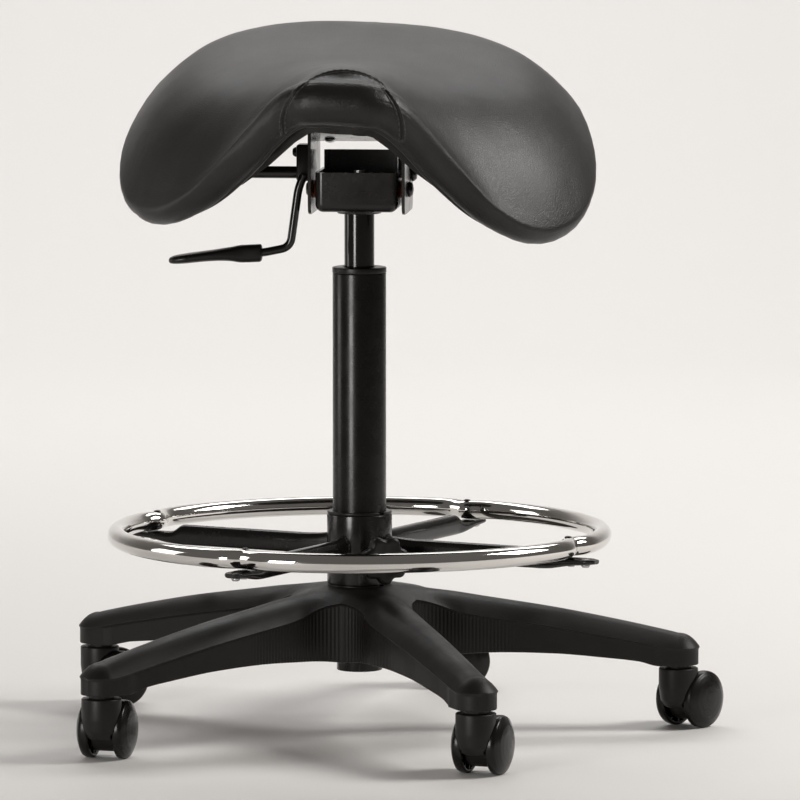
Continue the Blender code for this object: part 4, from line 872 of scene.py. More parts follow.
def caster_wheel(sign):
    """Domed disc with a raised rim bead outside, and a ribbed recess on its inner side."""
    profile = ((0.0, WHEEL_IN + 0.0020), (0.0040, WHEEL_IN + 0.0018), (0.0044, WHEEL_IN), (0.0078, WHEEL_IN),
               (0.0086, WHEEL_IN + 0.0058), (0.0226, WHEEL_IN + 0.0054), (0.0238, WHEEL_IN),
               (WHEEL_R - 0.0012, WHEEL_IN), (WHEEL_R, WHEEL_IN + 0.0012), (WHEEL_R, WHEEL_OUT - 0.0024),
               (WHEEL_R - 0.0010, WHEEL_OUT + 0.0004), (0.0242, 0.0213), (0.0232, 0.0219), (0.0226, 0.0222),
               (0.0185, 0.0240), (0.0130, 0.0251), (0.0060, 0.0259), (0.0, WHEEL_DOME))
    points = [(r, sign * d) for r, d in profile]
    disc = turned(points, 96, 0.0009)
    ribs = []
    for i in range(12):
        low, high = sorted((sign * (WHEEL_IN + 0.0012), sign * (WHEEL_IN + 0.0064)))
        rib = box((0.0070, -0.0006, low), (0.0236, 0.0006, high))
        rib.transform(Matrix.Rotation(2 * math.pi * i / 12, 4, "Z"))
        ribs.append(rib)
    wheel = combine(disc, ribs, "UNION")
    wheel.transform(Matrix.Rotation(-math.pi / 2, 4, "X"))
    return wheel


def build_casters():
    """One housing and two wheels are made once, and copied to the five casters."""
    housing = caster_housing()
    wheels = {"left": caster_wheel(1), "right": caster_wheel(-1)}
    for i in range(1, ARM_COUNT + 1):
        tag = "caster_%d" % i
        swivel = Vector(JOINTS[tag + "_swivel"]["pos_m"])
        roll = JOINTS[tag + "_wheel_left_roll"]
        hub = Vector(roll["pos_m"])
        heading = math.atan2(hub.y - swivel.y, hub.x - swivel.x)
        turn = Matrix.Rotation(heading, 4, "Z")
        place = Matrix.Translation((swivel.x, swivel.y, 0.0)) @ turn
        add(tag + "_shroud", housing.copy(), MATS["caster_nylon"], tag,
            (tag + "_housing",), place, 30.0)
        for side, wheel in wheels.items():
            body = tag + "_wheel_" + side
            add(body + "_disc", wheel.copy(), MATS["wheel_nylon"], body, (body,),
                Matrix.Translation(hub) @ turn, 30.0)


# ================================================================ column
def build_column():
    foot_bore = TUBE_FOOT_R - TUBE_FOOT_WALL
    tube = turned(((0.0060, TUBE_FLOOR), (foot_bore, TUBE_FLOOR), (foot_bore, TUBE_LOW),
                   (TUBE_FOOT_R, TUBE_LOW), (TUBE_FOOT_R, HUB_LOW + 0.004),
                   (TUBE_R, TUBE_TAPER), (TUBE_R, TUBE_TOP), (TUBE_BORE, TUBE_TOP),
                   (TUBE_BORE, TUBE_TAPER + 0.001), (foot_bore, HUB_LOW + 0.005),
                   (foot_bore, TUBE_FLOOR + TUBE_FLOOR_T), (0.0060, TUBE_FLOOR + TUBE_FLOOR_T)), 128, 0.0006)
    add("column_tube_painted", tube, MATS["column_paint"], "base", ("column_tube",))
    cap = turned(((GAS_R + GAP, CAP_LOW), (TUBE_BORE - GAP, CAP_LOW), (TUBE_BORE - GAP, TUBE_TOP + GAP),
                  (CAP_R, TUBE_TOP + GAP), (CAP_R, CAP_TOP - 0.0006), (CAP_R - 0.0030, CAP_TOP),
                  (GAS_R + 0.0022, CAP_TOP), (GAS_R + GAP, CAP_TOP - 0.0012)), 128, 0.0006)
    add("column_cap_moulded", cap, MATS["black_plastic"], "base", ("column_guide_cap",))
    bore = GAS_R - 0.0022
    cylinder = turned(((0.0, GAS_SHOULDER - 0.02), (bore, GAS_SHOULDER - 0.02), (bore, GAS_LOW + 0.02),
                       (ROD_R + GAP, GAS_LOW + 0.02), (ROD_R + GAP, GAS_LOW), (GAS_R, GAS_LOW),
                       (GAS_R, GAS_SHOULDER), (GAS_R - 0.0012, GAS_TOP), (0.0, GAS_TOP)), 96, 0.0008)
    add("gas_cylinder_gloss", cylinder, MATS["gas_gloss"], "lift", ("gas_cylinder",), SEAT)


# ================================================================ foot ring
def ring_radius(angle):
    """The ring's centre line dips inward over each spoke."""
    dip = 0.0
    for s in range(SPOKE_COUNT):
        base = SPOKE_START + 2.0 * math.pi * s / SPOKE_COUNT
        d = (angle - base + math.pi) % (2.0 * math.pi) - math.pi
        dip += RING_DIP * math.exp(-(abs(d) / RING_DIP_ANGLE) ** 1.7)
    return RING_R - dip


def build_ring():
    path = []
    count = 720
    for i in range(count):
        a = 2.0 * math.pi * i / count
        r = ring_radius(a)
        path.append((r * math.cos(a), r * math.sin(a), RING_Z))
    add("foot_ring_chrome", sweep(path, RING_TUBE, 40, closed=True), MATS["chrome"], "ring_frame",
        ("foot_ring",), sharp=80.0)
    for i in range(SPOKE_COUNT):
        a = SPOKE_START + 2.0 * math.pi * i / SPOKE_COUNT
        turn = Matrix.Rotation(a, 4, "Z")
        add("ring_spoke_%d_bar" % (i + 1), spoke_bar(), MATS["spoke_paint"], "ring_frame",
            ("ring_spoke_%d" % (i + 1),), COLUMN @ turn, 50.0)
        add("ring_spoke_%d_weld" % (i + 1), weld_bead(), MATS["spoke_paint"], "ring_frame",
            (), COLUMN @ turn, 60.0)
        add("ring_spoke_%d_screws" % (i + 1), joined([foot_screw(0.2215), foot_screw(0.2365)]),
            MATS["steel_pin"], "ring_frame", (), COLUMN @ turn, 30.0)
        stud = turned(((0.0, -0.0010), (0.0034, -0.0010), (0.0034, 0.0006), (0.0022, 0.0014), (0.0, 0.0017)),
                      32, 0.0005,
                      Matrix.Translation((ring_radius(a) - 0.0010, 0.0, RING_Z + RING_TUBE - 0.0004)))
        add("ring_spoke_%d_stud" % (i + 1), stud, MATS["spoke_paint"], "ring_frame", (),
            COLUMN @ turn, 30.0)


def spoke_bar():
    """Flattened bar, round on top, that thins to a foot under the ring."""
    top = RING_Z - SPOKE_DROP
    low = top - SPOKE_DEEP
    foot = RING_Z - RING_TUBE - GAP - 0.0002
    table = ((COLLAR_R + 0.0009, 0.0046, low - 0.0020, top + 0.0020), (0.0450, 0.0060, low, top + 0.0005),
             (0.0620, SPOKE_W, low, top), (0.1250, SPOKE_W, low, top), (0.1880, SPOKE_W, low, top),
             (0.2000, SPOKE_W + 0.0008, low + 0.0006, foot + 0.0010),
             (0.2090, SPOKE_W + 0.0014, low + 0.0020, foot), (0.2200, SPOKE_W + 0.0018, foot - 0.0080, foot),
             (0.2400, SPOKE_W + 0.0018, foot - 0.0060, foot),
             (SPOKE_END, SPOKE_W - 0.0025, foot - 0.0050, foot - 0.0008))
    loops = []
    for i in range(90):
        r = table[0][0] + (SPOKE_END - table[0][0]) * i / 89
        w, z0, z1 = (smooth_table([(row[0], row[k]) for row in table], r) for k in (1, 2, 3))
        loops.append([(r, y, z) for y, z in superellipse(0.0, (z0 + z1) / 2, w, (z1 - z0) / 2, 2.6, 32)])
    return loft(loops)


def weld_bead():
    """Ripples of weld round the foot of a spoke, on the collar."""
    mid = RING_Z - SPOKE_DROP - SPOKE_DEEP / 2
    path, radii = [], []
    count = 96
    for i in range(count):
        a = 2.0 * math.pi * i / count
        path.append((COLLAR_R + 0.0006, 0.0052 * math.cos(a), mid + 0.0118 * math.sin(a)))
        radii.append(0.0013 + 0.0003 * math.sin(24 * a))
    return sweep(path, radii, 10, closed=True)


def foot_screw(r):
    """Domed screw head under a spoke's foot, with a cross recess."""
    low = RING_Z - RING_TUBE - 0.0067
    head = turned(((0.0, 0.0), (0.0042, 0.0), (0.0042, -0.0008), (0.0030, -0.0024), (0.0, -0.0029)),
                  40, 0.0006)
    cross = [box((-0.0020, -0.0004, -0.0040), (0.0020, 0.0004, -0.0016)),
             box((-0.0004, -0.0020, -0.0040), (0.0004, 0.0020, -0.0016))]
    cut = combine(head, cross, "DIFFERENCE")
    cut.transform(Matrix.Translation((r, 0.0, low)))
    return cut


def build_collar():
    slot = KNOB_AZ + math.radians(24.0)
    profile = filleted(((TUBE_R + GAP, SLEEVE_LOW), (SLEEVE_FLANGE, SLEEVE_LOW),
                        (SLEEVE_FLANGE, SLEEVE_LOW + 0.0022), (SLEEVE_R, SLEEVE_LOW + 0.0024),
                        (SLEEVE_R, SLEEVE_TOP - 0.0024), (SLEEVE_FLANGE, SLEEVE_TOP - 0.0022),
                        (SLEEVE_FLANGE, SLEEVE_TOP), (TUBE_R + GAP, SLEEVE_TOP)), 0.0005)
    sleeve = split_lathe(profile, 120, slot + SLEEVE_SLOT / 2, slot + 2.0 * math.pi - SLEEVE_SLOT / 2)
    add("ring_sleeve_moulded", sleeve, MATS["black_plastic"], "ring_slider",
        ("ring_sleeve",))
    collar = turned(((SLEEVE_R + GAP, COLLAR_LOW), (COLLAR_R, COLLAR_LOW), (COLLAR_R, COLLAR_TOP),
                     (SLEEVE_R + GAP, COLLAR_TOP)), 120, 0.0006)
    out = Matrix.Rotation(KNOB_AZ, 4, "Z") @ along_x(0.0, 0.0, KNOB_Z)
    hole = lathe(((0.0, 0.015), (0.0045, 0.015), (0.0045, 0.040), (0.0, 0.040)), 32, out)
    add("ring_collar_painted", combine(collar, [hole], "DIFFERENCE"), MATS["spoke_paint"], "ring_frame",
        ("ring_collar",))
    boss = turned(((0.0045, COLLAR_R + 0.0008), (0.0085, COLLAR_R + 0.0008), (0.0085, KNOB_IN - 0.0017),
                   (0.0045, KNOB_IN - 0.0017)), 48, 0.0008, out)
    add("collar_nut_welded", boss, MATS["spoke_paint"], "ring_frame", ("collar_nut",))


def build_knob():
    """Lobed hand knob with a dished face and a moulded skirt."""
    count = KNOB_LOBES * 16
    depth = KNOB_OUT - KNOB_IN
    stations = ((0.0, 0.0001, 0.0), (0.0, 0.0098, 0.0), (0.0, 0.0104, 0.06), (0.0, 0.0108, 0.32),
                (0.5, 0.0160, 0.42), (0.9, KNOB_R - 0.0020, 0.52), (1.0, KNOB_R - 0.0003, 0.60),
                (1.0, KNOB_R, 0.68), (1.0, KNOB_R, 0.86), (0.95, KNOB_R - 0.0008, 0.95),
                (0.85, KNOB_R - 0.0032, 1.0), (0.5, KNOB_R - 0.0070, 0.985), (0.0, 0.0080, 0.93),
                (0.0, 0.0001, 0.92))
    loops = []
    for lobe, radius, t in stations:
        loop = []
        for i in range(count):
            a = 2.0 * math.pi * i / count
            wave = 0.5 - 0.5 * math.cos(KNOB_LOBES * a)
            r = radius - 0.0042 * lobe * wave ** 1.3
            loop.append((r * math.cos(a), r * math.sin(a), depth * t))
        loops.append(loop)
    place = COLUMN @ Matrix.Rotation(KNOB_AZ, 4, "Z") @ along_x(KNOB_IN, 0.0, KNOB_Z)
    add("clamp_knob_moulded", loft(loops), MATS["black_plastic"], "knob", ("clamp_knob",),
        place, 60.0, 1)


# ================================================================ tilt mechanism
def bolt_head(matrix, radius, reach, socket=0.0022):
    """Domed bolt head with a hexagon socket, its seat at the origin and its dome along +Z."""
    head = turned(((0.0, 0.0), (radius, 0.0), (radius, reach * 0.42), (radius * 0.70, reach * 0.86),
                   (0.0, reach)), 48, 0.0006)
    hexagon = lathe(((0.0, reach - 0.0022), (socket, reach - 0.0022), (socket, reach + 0.002),
                     (0.0, reach + 0.002)), 6)
    head = combine(head, [hexagon], "DIFFERENCE")
    head.transform(matrix)
    return head


def build_pan():
    """Folded steel pan with a taper boss below, welded all round."""
    outer = box((-PAN_X, PAN_FRONT, PAN_LOW), (PAN_X, PAN_BACK, PAN_BACK_TOP + 0.01), 0.0075, 8)
    inner = box((-PAN_X + PAN_T, PAN_FRONT + PAN_T, PAN_LOW + PAN_T),
                (PAN_X - PAN_T, PAN_BACK - PAN_T, PAN_BACK_TOP + 0.03), 0.0045, 5)
    front = box((-0.06, -0.08, PAN_TOP), (0.06, PAN_BACK - PAN_T - 0.001, 0.60))
    rear = box((-0.06, -0.08, PAN_BACK_TOP), (0.06, 0.09, 0.61))
    boss = turned(((0.0, BOSS_LOW), (BOSS_R, BOSS_LOW), (BOSS_R, PAN_LOW + 0.0245), (0.0, PAN_LOW + 0.0245)),
                  72, 0.0014)
    body = combine(outer, [inner, front, rear], "DIFFERENCE")
    body = combine(body, [boss], "UNION")
    bore = lathe(((0.0, 0.45), (GAS_R + GAP, 0.45), (GAS_R + GAP, GAS_SHOULDER), (GAS_R - 0.0009, GAS_TOP),
                  (0.0, GAS_TOP)), 72)
    holes = [bore]
    for sign in (-1, 1):
        holes.append(lathe(((0.0, 0.030), (0.0052, 0.030), (0.0052, 0.045), (0.0, 0.045)), 32,
                           mirror_x(sign) @ along_x(0.0, PIVOT_Y, PIVOT_Z)))
    body = combine(body, holes, "DIFFERENCE")
    add("tilt_pan_folded", body, MATS["bracket_paint"], "lift", ("tilt_pan",), SEAT, 28.0)
    ring = []
    radii = []
    for i in range(160):
        a = 2 * math.pi * i / 160
        ring.append(((BOSS_R + 0.0002) * math.cos(a), (BOSS_R + 0.0002) * math.sin(a), PAN_LOW - 0.0002))
        radii.append(0.0011 + 0.0002 * math.sin(40 * a))
    add("tilt_pan_weld", sweep(ring, radii, 10, closed=True), MATS["bracket_paint"], "lift",
        (), SEAT, 60.0)


def build_pivots():
    inner = PLATE_X - PLATE_T
    for side, sign in (("left", -1), ("right", 1)):
        lie = mirror_x(sign) @ along_x(0.0, PIVOT_Y, PIVOT_Z)
        bush = turned(((0.0055, PAN_X + GAP), (0.0085, PAN_X + GAP), (0.0085, inner - GAP),
                       (0.0055, inner - GAP)), 48, 0.0004, lie)
        add("pivot_bush_%s_ring" % side, bush, MATS["orange_nylon"], "lift",
            ("pivot_bush_" + side,), SEAT)
        shank = turned(((0.0, 0.0345), (0.0049, 0.0345), (0.0049, PLATE_X + GAP), (0.0, PLATE_X + GAP)),
                       40, 0.0004, lie)
        head = bolt_head(lie @ Matrix.Translation((0.0, 0.0, PLATE_X + GAP)), 0.0074, 0.0051)
        add("pivot_bolt_%s_head" % side, joined([shank, head]), MATS["bracket_paint"], "seat",
            ("pivot_bolt_" + side,), SEAT)
    lie = along_x(0.0, LOCK_Y, LOCK_Z)
    shank = turned(((0.0, PAN_X + 0.0006), (0.0049, PAN_X + 0.0006), (0.0049, PLATE_X + GAP),
                    (0.0, PLATE_X + GAP)), 40, 0.0004, lie)
    head = bolt_head(lie @ Matrix.Translation((0.0, 0.0, PLATE_X + GAP)), 0.0076, 0.0055)
    add("lock_bolt_head", joined([shank, head]), MATS["bracket_paint"], "seat",
        ("lock_bolt",), SEAT)


def tilted(bm):
    """Tips a body laid out level about the pivot axis."""
    pivot = Vector((0.0, PIVOT_Y, PIVOT_Z))
    bm.transform(Matrix.Translation(pivot) @ Matrix.Rotation(TILT, 4, "X") @ Matrix.Translation(-pivot))
    return bm


def plate_height():
    """Level height of the seat plate's underside before it is tipped about the pivot."""
    return PIVOT_Z + (PLATE_UNDER - PIVOT_Z) * math.cos(TILT)


def build_plate():
    """Seat plate with two flanges folded down over the pan, all edges eased."""
    under = plate_height()
    top = tilted(box((-PLATE_X, PLATE_FRONT, under), (PLATE_X, PLATE_BACK, under + PLATE_T), 0.0008, 3))
    parts = []
    inner = PLATE_X - PLATE_T
    slope = math.tan(-TILT)
    y0, y1 = PLATE_FRONT + 0.0105, PLATE_BACK - 0.0060
    z0 = PLATE_UNDER - (y0 - PIVOT_Y) * slope + 0.0012
    z1 = PLATE_UNDER - (y1 - PIVOT_Y) * slope + 0.0012
    outline = filleted(((y0, z0), (y0, FLANGE_LOW), (y1, FLANGE_LOW), (y1, z1)), 0.0110, 10)
    for sign in (-1, 1):
        steps = ((inner, 0.0004), (inner + 0.0004, 0.0), (PLATE_X - 0.0004, 0.0), (PLATE_X, 0.0004))
        mid_y = (y0 + y1) / 2
        loops = [[(x, y + math.copysign(ease, mid_y - y), z + (ease if z < 0.53 else 0.0)) for y,
            z in outline]
                 for x, ease in steps]
        parts.append(loft(loops, mirror_x(sign)))
    body = combine(top, parts, "UNION")
    holes = [tilted(lathe(((0.0, 0.54), (PLATE_HOLE_R, 0.54), (PLATE_HOLE_R, 0.60), (0.0, 0.60)), 72,
                          Matrix.Translation((0.0, PLATE_HOLE_Y, 0.0))))]
    for y, z, start in ((PIVOT_Y, PIVOT_Z, -0.07), (LOCK_Y, LOCK_Z, 0.02)):
        holes.append(lathe(((0.0, start), (0.0052, start), (0.0052, 0.07), (0.0, 0.07)), 40,
                           along_x(0.0, y, z)))
    body = combine(body, holes, "DIFFERENCE")
    add("seat_plate_folded", body, MATS["bracket_paint"], "seat", ("seat_plate",),
        SEAT, 28.0)
    for i, (x, y) in enumerate(((-0.033, -0.030), (0.033, -0.030), (-0.033, 0.048), (0.033, 0.048))):
        head = bolt_head(Matrix.Rotation(math.pi, 4, "X"), 0.0052, 0.0034, 0.0018)
        head.transform(Matrix.Translation((x, y, under - 0.0001)))
        add("plate_screw_%d" % (i + 1), tilted(head), MATS["steel_pin"], "seat", (), SEAT)


def build_levers():
    inner = PLATE_X + GAP
    block = box((-BLOCK_X, -BLOCK_Y, BLOCK_LOW), (-inner, BLOCK_Y + 0.002, BLOCK_TOP), 0.0022, 5)
    cuts = [lathe(((0.0, -0.0660), (TILT_ROD_R + GAP, -0.0660), (TILT_ROD_R + GAP, -0.0500), (0.0, -0.0500)),
                  48, along_x(0.0, 0.0, TILT_ROD_Z))]
    add("lever_block_moulded", combine(block, cuts, "DIFFERENCE"), MATS["black_plastic"], "seat",
        ("lever_block",), SEAT)
    head = bolt_head(mirror_x(-1) @ along_x(0.0, 0.0, 0.5435) @ Matrix.Translation((0.0, 0.0, BLOCK_X + GAP)),
                     0.0046, 0.0045, 0.0018)
    add("block_bolt_head", head, MATS["bracket_paint"], "seat", ("block_bolt",), SEAT)
    rod = turned(((0.0, -0.1370), (TILT_ROD_R, -0.1370), (TILT_ROD_R, -0.0506), (0.0, -0.0506)), 56, 0.0006,
                 along_x(0.0, 0.0, TILT_ROD_Z))
    add("tilt_rod_painted", rod, MATS["rod_paint"], "tilt_lever", ("tilt_lever_rod",), SEAT)
    grip = turned(((0.0, -0.1445), (0.0070, -0.1445), (0.0088, -0.1420), (0.0088, -0.1300), (0.0080, -0.1190),
                   (0.0078, -0.1060), (0.0072, -0.1045), (TILT_ROD_R + GAP, -0.1045),
                   (TILT_ROD_R + GAP, -0.1374), (0.0, -0.1374)), 64, 0.0012, along_x(0.0, 0.0, TILT_ROD_Z))
    add("tilt_grip_moulded", grip, MATS["grip_plastic"], "tilt_lever",
        ("tilt_lever_grip",), SEAT)
    y = LEVER_Y
    path = rounded_path(((-0.0500, y, 0.5230), (-0.0550, y, 0.5130), (-0.0630, y, 0.4558),
                         (-0.0880, y, 0.4506), (-0.1090, y, 0.4484)), 0.0090, 12)
    add("height_rod_bent", sweep(path, LIFT_ROD_R, 28), MATS["rod_paint"], "height_lever",
        ("height_lever_rod",), SEAT, 50.0)
    add("height_paddle_moulded", paddle(), MATS["grip_plastic"], "height_lever",
        ("height_lever_paddle",), SEAT, 50.0)


def paddle():
    """Flat grip: a round socket at the rod, a waist, and a broad dished blade."""
    table = ((-0.0893, 0.0040, 0.0050, 0.4504), (-0.0900, 0.0062, 0.0074, 0.4504),
             (-0.0915, 0.0072, 0.0083, 0.4502), (-0.1080, 0.0088, 0.0082, 0.4494),
             (-0.1200, 0.0116, 0.0064, 0.4490), (-0.1400, 0.0140, 0.0050, 0.4472),
             (-0.1600, 0.0145, 0.0046, 0.4448), (-0.1700, 0.0126, 0.0040, 0.4436),
             (-0.1752, 0.0084, 0.0028, 0.4430), (-0.1765, 0.0040, 0.0014, 0.4428))
    mirrored = [(-x, *rest) for x, *rest in table]
    loops = []
    for i in range(70):
        t = i / 69
        x = mirrored[0][0] + (mirrored[-1][0] - mirrored[0][0]) * (0.5 - 0.5 * math.cos(math.pi * t))
        half_y, half_z, z = (smooth_table([(row[0], row[k]) for row in mirrored], x) for k in (1, 2, 3))
        loops.append([(-x, LEVER_Y + a, z + b) for a, b in superellipse(0.0, 0.0, half_y, half_z, 2.6, 36)])
    return loft(loops)


# ================================================================ saddle seat
def resample(table, count):
    """Smooth reading of a table of points at evenly spaced parameters."""
    out = []
    last = len(table) - 1
    for i in range(count):
        t = last * i / (count - 1)
        k = min(int(t), last - 1)
        f = t - k
        p = [table[max(min(k + d, last), 0)] for d in (-1, 0, 1, 2)]
        row = []
        for a, b, c, d in zip(*p):
            row.append(0.5 * (2 * b + (c - a) * f + (2 * a - 5 * b + 4 * c - d) * f * f
                              + (3 * b - a - 3 * c + d) * f ** 3))
        out.append(row)
    return out


def bezier(p0, p1, p2, p3, t):
    s = 1.0 - t
    return p0 * s ** 3 + p1 * (3 * s * s * t) + p2 * (3 * s * t * t) + p3 * t ** 3


def rib_curves(ribs):
    """For each rib of the right half: spine and rim points, tangents, thickness and lean."""
    rims = resample(RIM, ribs)
    spines = resample(SPINE, ribs)
    edges = resample(list(zip(RIM_THICK, RIM_LEAN)), ribs)
    out = []
    for i in range(ribs):
        rim = Vector(rims[i])
        spine = Vector((0.0, spines[i][0], spines[i][1]))
        before, after = Vector(rims[max(i - 1, 0)]), Vector(rims[min(i + 1, ribs - 1)])
        along = after - before
        if i in (0, ribs - 1):
            along = Vector((1.0, 0.0, 0.0)) * (1.0 if i == 0 else -1.0)
        along.normalize()
        flat = Vector((rim.x - spine.x, rim.y - spine.y, 0.0))
        out.append((spine, rim, flat, along, *edges[i]))
    return out


def rib_section(curve, top_steps, edge_steps, under_steps):
    """Closed half section: over the top to the rim, round the rolled edge, back underneath."""
    spine, rim, flat, along, thick, steep = curve
    run = flat.length
    outward = flat / run
    down = Vector((0.0, 0.0, -1.0))
    arrive = (outward * math.cos(steep) + down * math.sin(steep)).normalized()
    normal = along.cross(arrive)
    if normal.dot(outward - down) < 0:
        normal = -normal
    normal.normalize()
    top = []
    shoulder = rim + normal * (thick * 0.30) - arrive * (thick * 0.30)
    lead = spine + outward * (run * 0.52)
    reach = (shoulder - spine).length * 0.42
    for k in range(top_steps + 1):
        top.append(bezier(spine, lead, shoulder - arrive * reach, shoulder, k / top_steps))
    edge = []
    centre = shoulder - normal * (thick * 0.5)
    for k in range(1, edge_steps + 1):
        a = math.pi * k / edge_steps
        bulge = arrive * (math.sin(a) * thick * 0.46)
        edge.append(centre + normal * (math.cos(a) * thick * 0.5) + bulge)
    hem = edge[-1]
    under_spine = spine + down * PAD_T
    under = []
    for k in range(1, under_steps + 1):
        t = k / under_steps
        under.append(bezier(hem, hem - arrive * (reach * 0.9), under_spine + outward * (run * 0.42),
                            under_spine, t))
    return top, edge, under


def roll(p):
    """Leans a seat point about the middle of the seat plate."""
    c, s = math.cos(SEAT_ROLL), math.sin(SEAT_ROLL)
    z = p.z - PLATE_UNDER
    return Vector((p.x * c + z * s + SEAT_SHIFT, p.y, -p.x * s + z * c + PLATE_UNDER))


def mirrored_rows(half):
    """Rows for the right half, then the left half back again, sharing the middle ribs."""
    rows = [list(row) for row in half]
    for row in reversed(half[1:-1]):
        rows.append([Vector((-p.x, p.y, p.z)) for p in row])
    return rows


PAD_RIBS = 49
PAD_TOP, PAD_EDGE, PAD_UNDER = 26, 14, 14
HEM_R = 0.0030                  # piping along the lower hem


def ring_faces(rows):
    """Quads between closed sections whose ends meet on the centre line."""
    bm = bmesh.new()
    n = len(rows)
    grid = []
    for i in range(n):
        twin = (n - i) % n
        line = []
        for j, p in enumerate(rows[i]):
            if j in (0, len(rows[i]) - 1) and i > n // 2:
                line.append(grid[twin][j])
            else:
                line.append(bm.verts.new(roll(p)))
        grid.append(line)
    add_grid(bm, grid, close_rows=True)
    return bm, grid


def pad_rows():
    half = []
    for curve in rib_curves(PAD_RIBS):
        top, edge, under = rib_section(curve, PAD_TOP, PAD_EDGE, PAD_UNDER)
        half.append(top + edge + under)
    return mirrored_rows(half)


def tension_lines(p, edge_near):
    """How far the cover is pushed out of its even surface at p by creases and slack, in metres."""
    slow = noise.noise(p * 11.0) * 0.00055
    # short gathers that run in from the hem where the cover turns round the flaps' lower ends
    low = max(0.0, min(1.0, (0.560 - p.z) / 0.05))
    gather = noise.noise(Vector((p.x * 46.0, p.y * 46.0, p.z * 9.0))) * 0.00085 * low * edge_near
    # diagonal pulls beside the pommel
    beside = math.exp(-((abs(p.x) - 0.070) / 0.020) ** 2 - ((p.y + 0.135) / 0.032) ** 2)
    pull = math.sin(p.x * 360.0 + p.z * 240.0 + noise.noise(p * 30.0) * 2.0) * 0.00045 * beside
    return slow + gather + pull


# the pommel's seam is half an ellipse seen from the front, laid back onto the cushion
SEAM_X, SEAM_Z = 0.0030, 0.5750
SEAM_HALF_W, SEAM_RISE = 0.0545, 0.0520


def seam_path(tree, count):
    """The pommel's seam, from one hem over the top to the other, as points and normals."""
    out = []
    for k in range(count + 1):
        t = math.radians(188.0 - 196.0 * k / count)
        x = SEAM_X + SEAM_HALF_W * math.cos(t)
        z = SEAM_Z + SEAM_RISE * math.sin(t)
        start = roll(Vector((x, -0.40, z)))
        hit, normal, _, _ = tree.ray_cast(start, Vector((0.0, 1.0, 0.0)))
        if hit is not None and hit.y < -0.09:
            out.append((hit, normal if normal.y < 0.0 else -normal))
    return out


def press_seam(bm, tree, depth, width):
    """Sinks the surface along a line, with a small roll either side of it."""
    bm.normal_update()
    moves = []
    for v in bm.verts:
        _, _, d = tree.find(v.co)
        if d < width * 5:
            s = d / width
            moves.append((v, depth * (0.45 * math.exp(-((s - 1.9) / 0.8) ** 2) - math.exp(-s * s))))
    for v, move in moves:
        v.co += v.normal * move


def refine_near(bm, tree, reach):
    """Splits the edges close to a line, and evens out the new points."""
    edges = [e for e in bm.edges if all(tree.find(v.co)[2] < reach for v in e.verts)]
    made = bmesh.ops.subdivide_edges(bm, edges=edges, cuts=2, use_grid_fill=True, smooth=0.6)
    return [g for g in made["geom_inner"] if isinstance(g, bmesh.types.BMVert)]


def build_pad():
    """Tight vinyl cover over foam, with its pommel seam, stitches and piped hem."""
    rows = pad_rows()
    bm, grid = ring_faces(rows)
    bmesh.ops.recalc_face_normals(bm, faces=bm.faces)
    bm.normal_update()
    columns = PAD_TOP + PAD_EDGE
    for line in grid:
        for j, v in enumerate(line):
            if j > columns:
                continue
            near = math.exp(-((j - PAD_TOP - 5) / 7.0) ** 2)
            v.co += v.normal * tension_lines(v.co, near)
    bmesh.ops.subdivide_edges(bm, edges=bm.edges[:], cuts=1, use_grid_fill=True, smooth=1.0)
    seam = seam_path(BVHTree.FromBMesh(bm), 240)
    line = KDTree(len(seam))
    for i, (p, _) in enumerate(seam):
        line.insert(p, i)
    line.balance()
    fresh = refine_near(bm, line, 0.016)
    bmesh.ops.smooth_vert(bm, verts=fresh, factor=0.5, use_axis_x=True, use_axis_y=True, use_axis_z=True)
    refine_near(bm, line, 0.0065)
    press_seam(bm, line, 0.0012, 0.0011)
    pad = add("seat_cover", bm, MATS["seat_vinyl"], "seat", ("seat_cushion",), SEAT, 70.0)
    build_stitches(seam)
    build_hem(rows)


def build_stitches(seam):
    """Two rows of short stitches either side of the pommel's seam."""
    parts = []
    for offset in (-0.0026, 0.0026):
        line = []
        for (p, n), (q, _) in zip(seam, seam[1:]):
            along = (q - p).normalized()
            side = along.cross(n).normalized()
            line.append((p + side * offset, n, along))
        for k in range(0, len(line) - 5, 7):
            a, n, along = line[k]
            b = line[k + 4][0]
            path = [a - n * 0.0006, a + n * 0.00025, (a + b) / 2 + n * 0.00050,
                    b + n * 0.00025, b - n * 0.0006]
            parts.append(sweep(path, 0.00042, 8))
    add("seat_stitches", joined(parts), MATS["seat_thread"], "seat", (), SEAT, 60.0)


def build_hem(rows):
    """Glossy piping sewn into the seam where the cover meets the shell."""
    j = PAD_TOP + PAD_EDGE
    path = []
    for line in rows:
        hem = line[j - 1]
        path.append(roll(line[j] + (line[j] - hem).normalized() * 0.0004))
    fine = []
    n = len(path)
    for i in range(n):
        p = [path[(i + d) % n] for d in (-1, 0, 1, 2)]
        for k in range(4):
            f = k / 4
            fine.append(0.5 * (2 * p[1] + (p[2] - p[0]) * f + (2 * p[0] - 5 * p[1] + 4 * p[2] - p[3]) * f * f
                               + (3 * p[1] - p[0] - 3 * p[2] + p[3]) * f ** 3))
    add("seat_piping", sweep(fine, HEM_R, 14, closed=True), MATS["seat_vinyl"], "seat", (),
        SEAT, 80.0)


# ================================================================ stage
def soft_light(name, place, aim, size, power, color=(1.0, 1.0, 1.0)):
    data = bpy.data.lights.new(name, "AREA")
    data.shape = "RECTANGLE"
    data.size, data.size_y = size
    data.energy = power
    data.color = color
    obj = bpy.data.objects.new(name, data)
    obj.location = place
    obj.rotation_euler = (Vector(aim) - Vector(place)).to_track_quat("-Z", "Y").to_euler()
    bpy.context.scene.collection.objects.link(obj)
    return obj


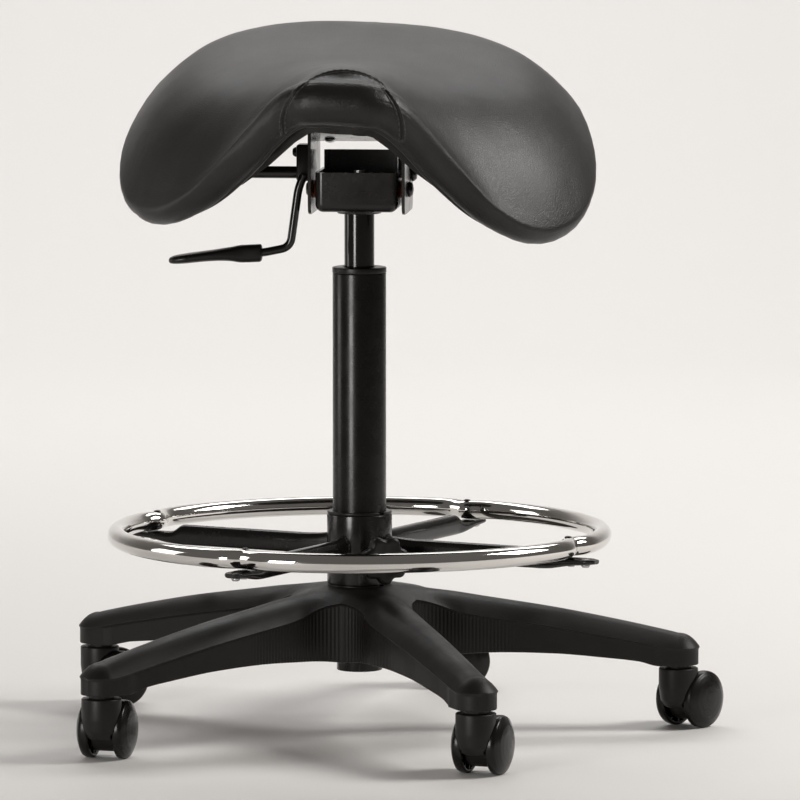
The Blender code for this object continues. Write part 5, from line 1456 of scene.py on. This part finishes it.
def build_stage():
    """Pale floor that curves up into a backdrop, soft boxes and the long-lens camera."""
    sweep_line = [(-12.0, 0.0), (3.5, 0.0)]
    sweep_line += [(3.5 + 2.0 * math.sin(t), 2.0 - 2.0 * math.cos(t)) for t in
                   (math.pi / 2 * k / 24 for k in range(1, 25))] + [(5.5, 9.0)]
    bm = bmesh.new()
    add_grid(bm, [[bm.verts.new((x, y, z)) for x in (-14.0, 14.0)] for y, z in sweep_line])
    mesh = bpy.data.meshes.new("floor")
    bm.to_mesh(mesh)
    bm.free()
    for poly in mesh.polygons:
        poly.use_smooth = True
    floor_mat = bpy.data.materials.new("floor")
    floor_mat.use_nodes = True
    shader = next(n for n in floor_mat.node_tree.nodes if n.type == "BSDF_PRINCIPLED")
    shader.inputs["Base Color"].default_value = (0.86, 0.84, 0.82, 1.0)
    shader.inputs["Roughness"].default_value = 0.7
    mesh.materials.append(floor_mat)
    floor = bpy.data.objects.new("floor", mesh)
    bpy.context.scene.collection.objects.link(floor)
    world = bpy.data.worlds.new("surround")
    world.use_nodes = True
    back = next(n for n in world.node_tree.nodes if n.type == "BACKGROUND")
    back.inputs["Color"].default_value = (1.0, 0.95, 0.90, 1.0)
    back.inputs["Strength"].default_value = 0.12
    bpy.context.scene.world = world
    soft_light("right", (2.35, 0.0, 2.05), (0.0, 0.0, 0.5), (1.0, 1.2), 62.0, (1.0, 0.98, 0.955))
    soft_light("left", (-2.7, 0.3, 0.75), (0.0, 0.0, 0.3), (0.8, 1.2), 9.0, (1.0, 0.96, 0.92))
    soft_light("front_left", (-1.9, -2.6, 0.55), (0.0, 0.0, 0.45), (0.8, 0.9), 34.0, (1.0, 0.98, 0.96))
    soft_light("overhead", (0.0, 2.9, 3.4), (0.0, 3.5, 0.0), (5.0, 1.6), 110.0)
    camera_data = bpy.data.cameras.new("camera")
    camera_data.lens = 314.6
    camera_data.sensor_width = 36.0
    camera_data.clip_end = 100.0
    camera = bpy.data.objects.new("camera", camera_data)
    camera.location = AXIS + Vector((0.0379, -6.5, 0.9704))
    camera.rotation_euler = (math.radians(90.0 - 5.787), 0.0, 0.0)
    bpy.context.scene.collection.objects.link(camera)
    bpy.context.scene.camera = camera
    bpy.context.scene.view_settings.view_transform = "Standard"


def finish_hidden_nodes():
    """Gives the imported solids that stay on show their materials."""
    slots = {part["node"]: part["material_slot"] for part in frame["record"]["subparts"]}
    for name, node in frame["nodes"].items():
        if not node.hide_render:
            node.data.materials.clear()
            dark = name.startswith("caster_") and name.endswith("_stem")
            node.data.materials.append(MATS["dark_pin" if dark else slots[name]])


# ================================================================ everything
build_star()
build_casters()
build_column()
build_ring()
build_collar()
build_knob()
build_pan()
build_pivots()
build_plate()
build_levers()
build_pad()
finish_hidden_nodes()
build_stage()
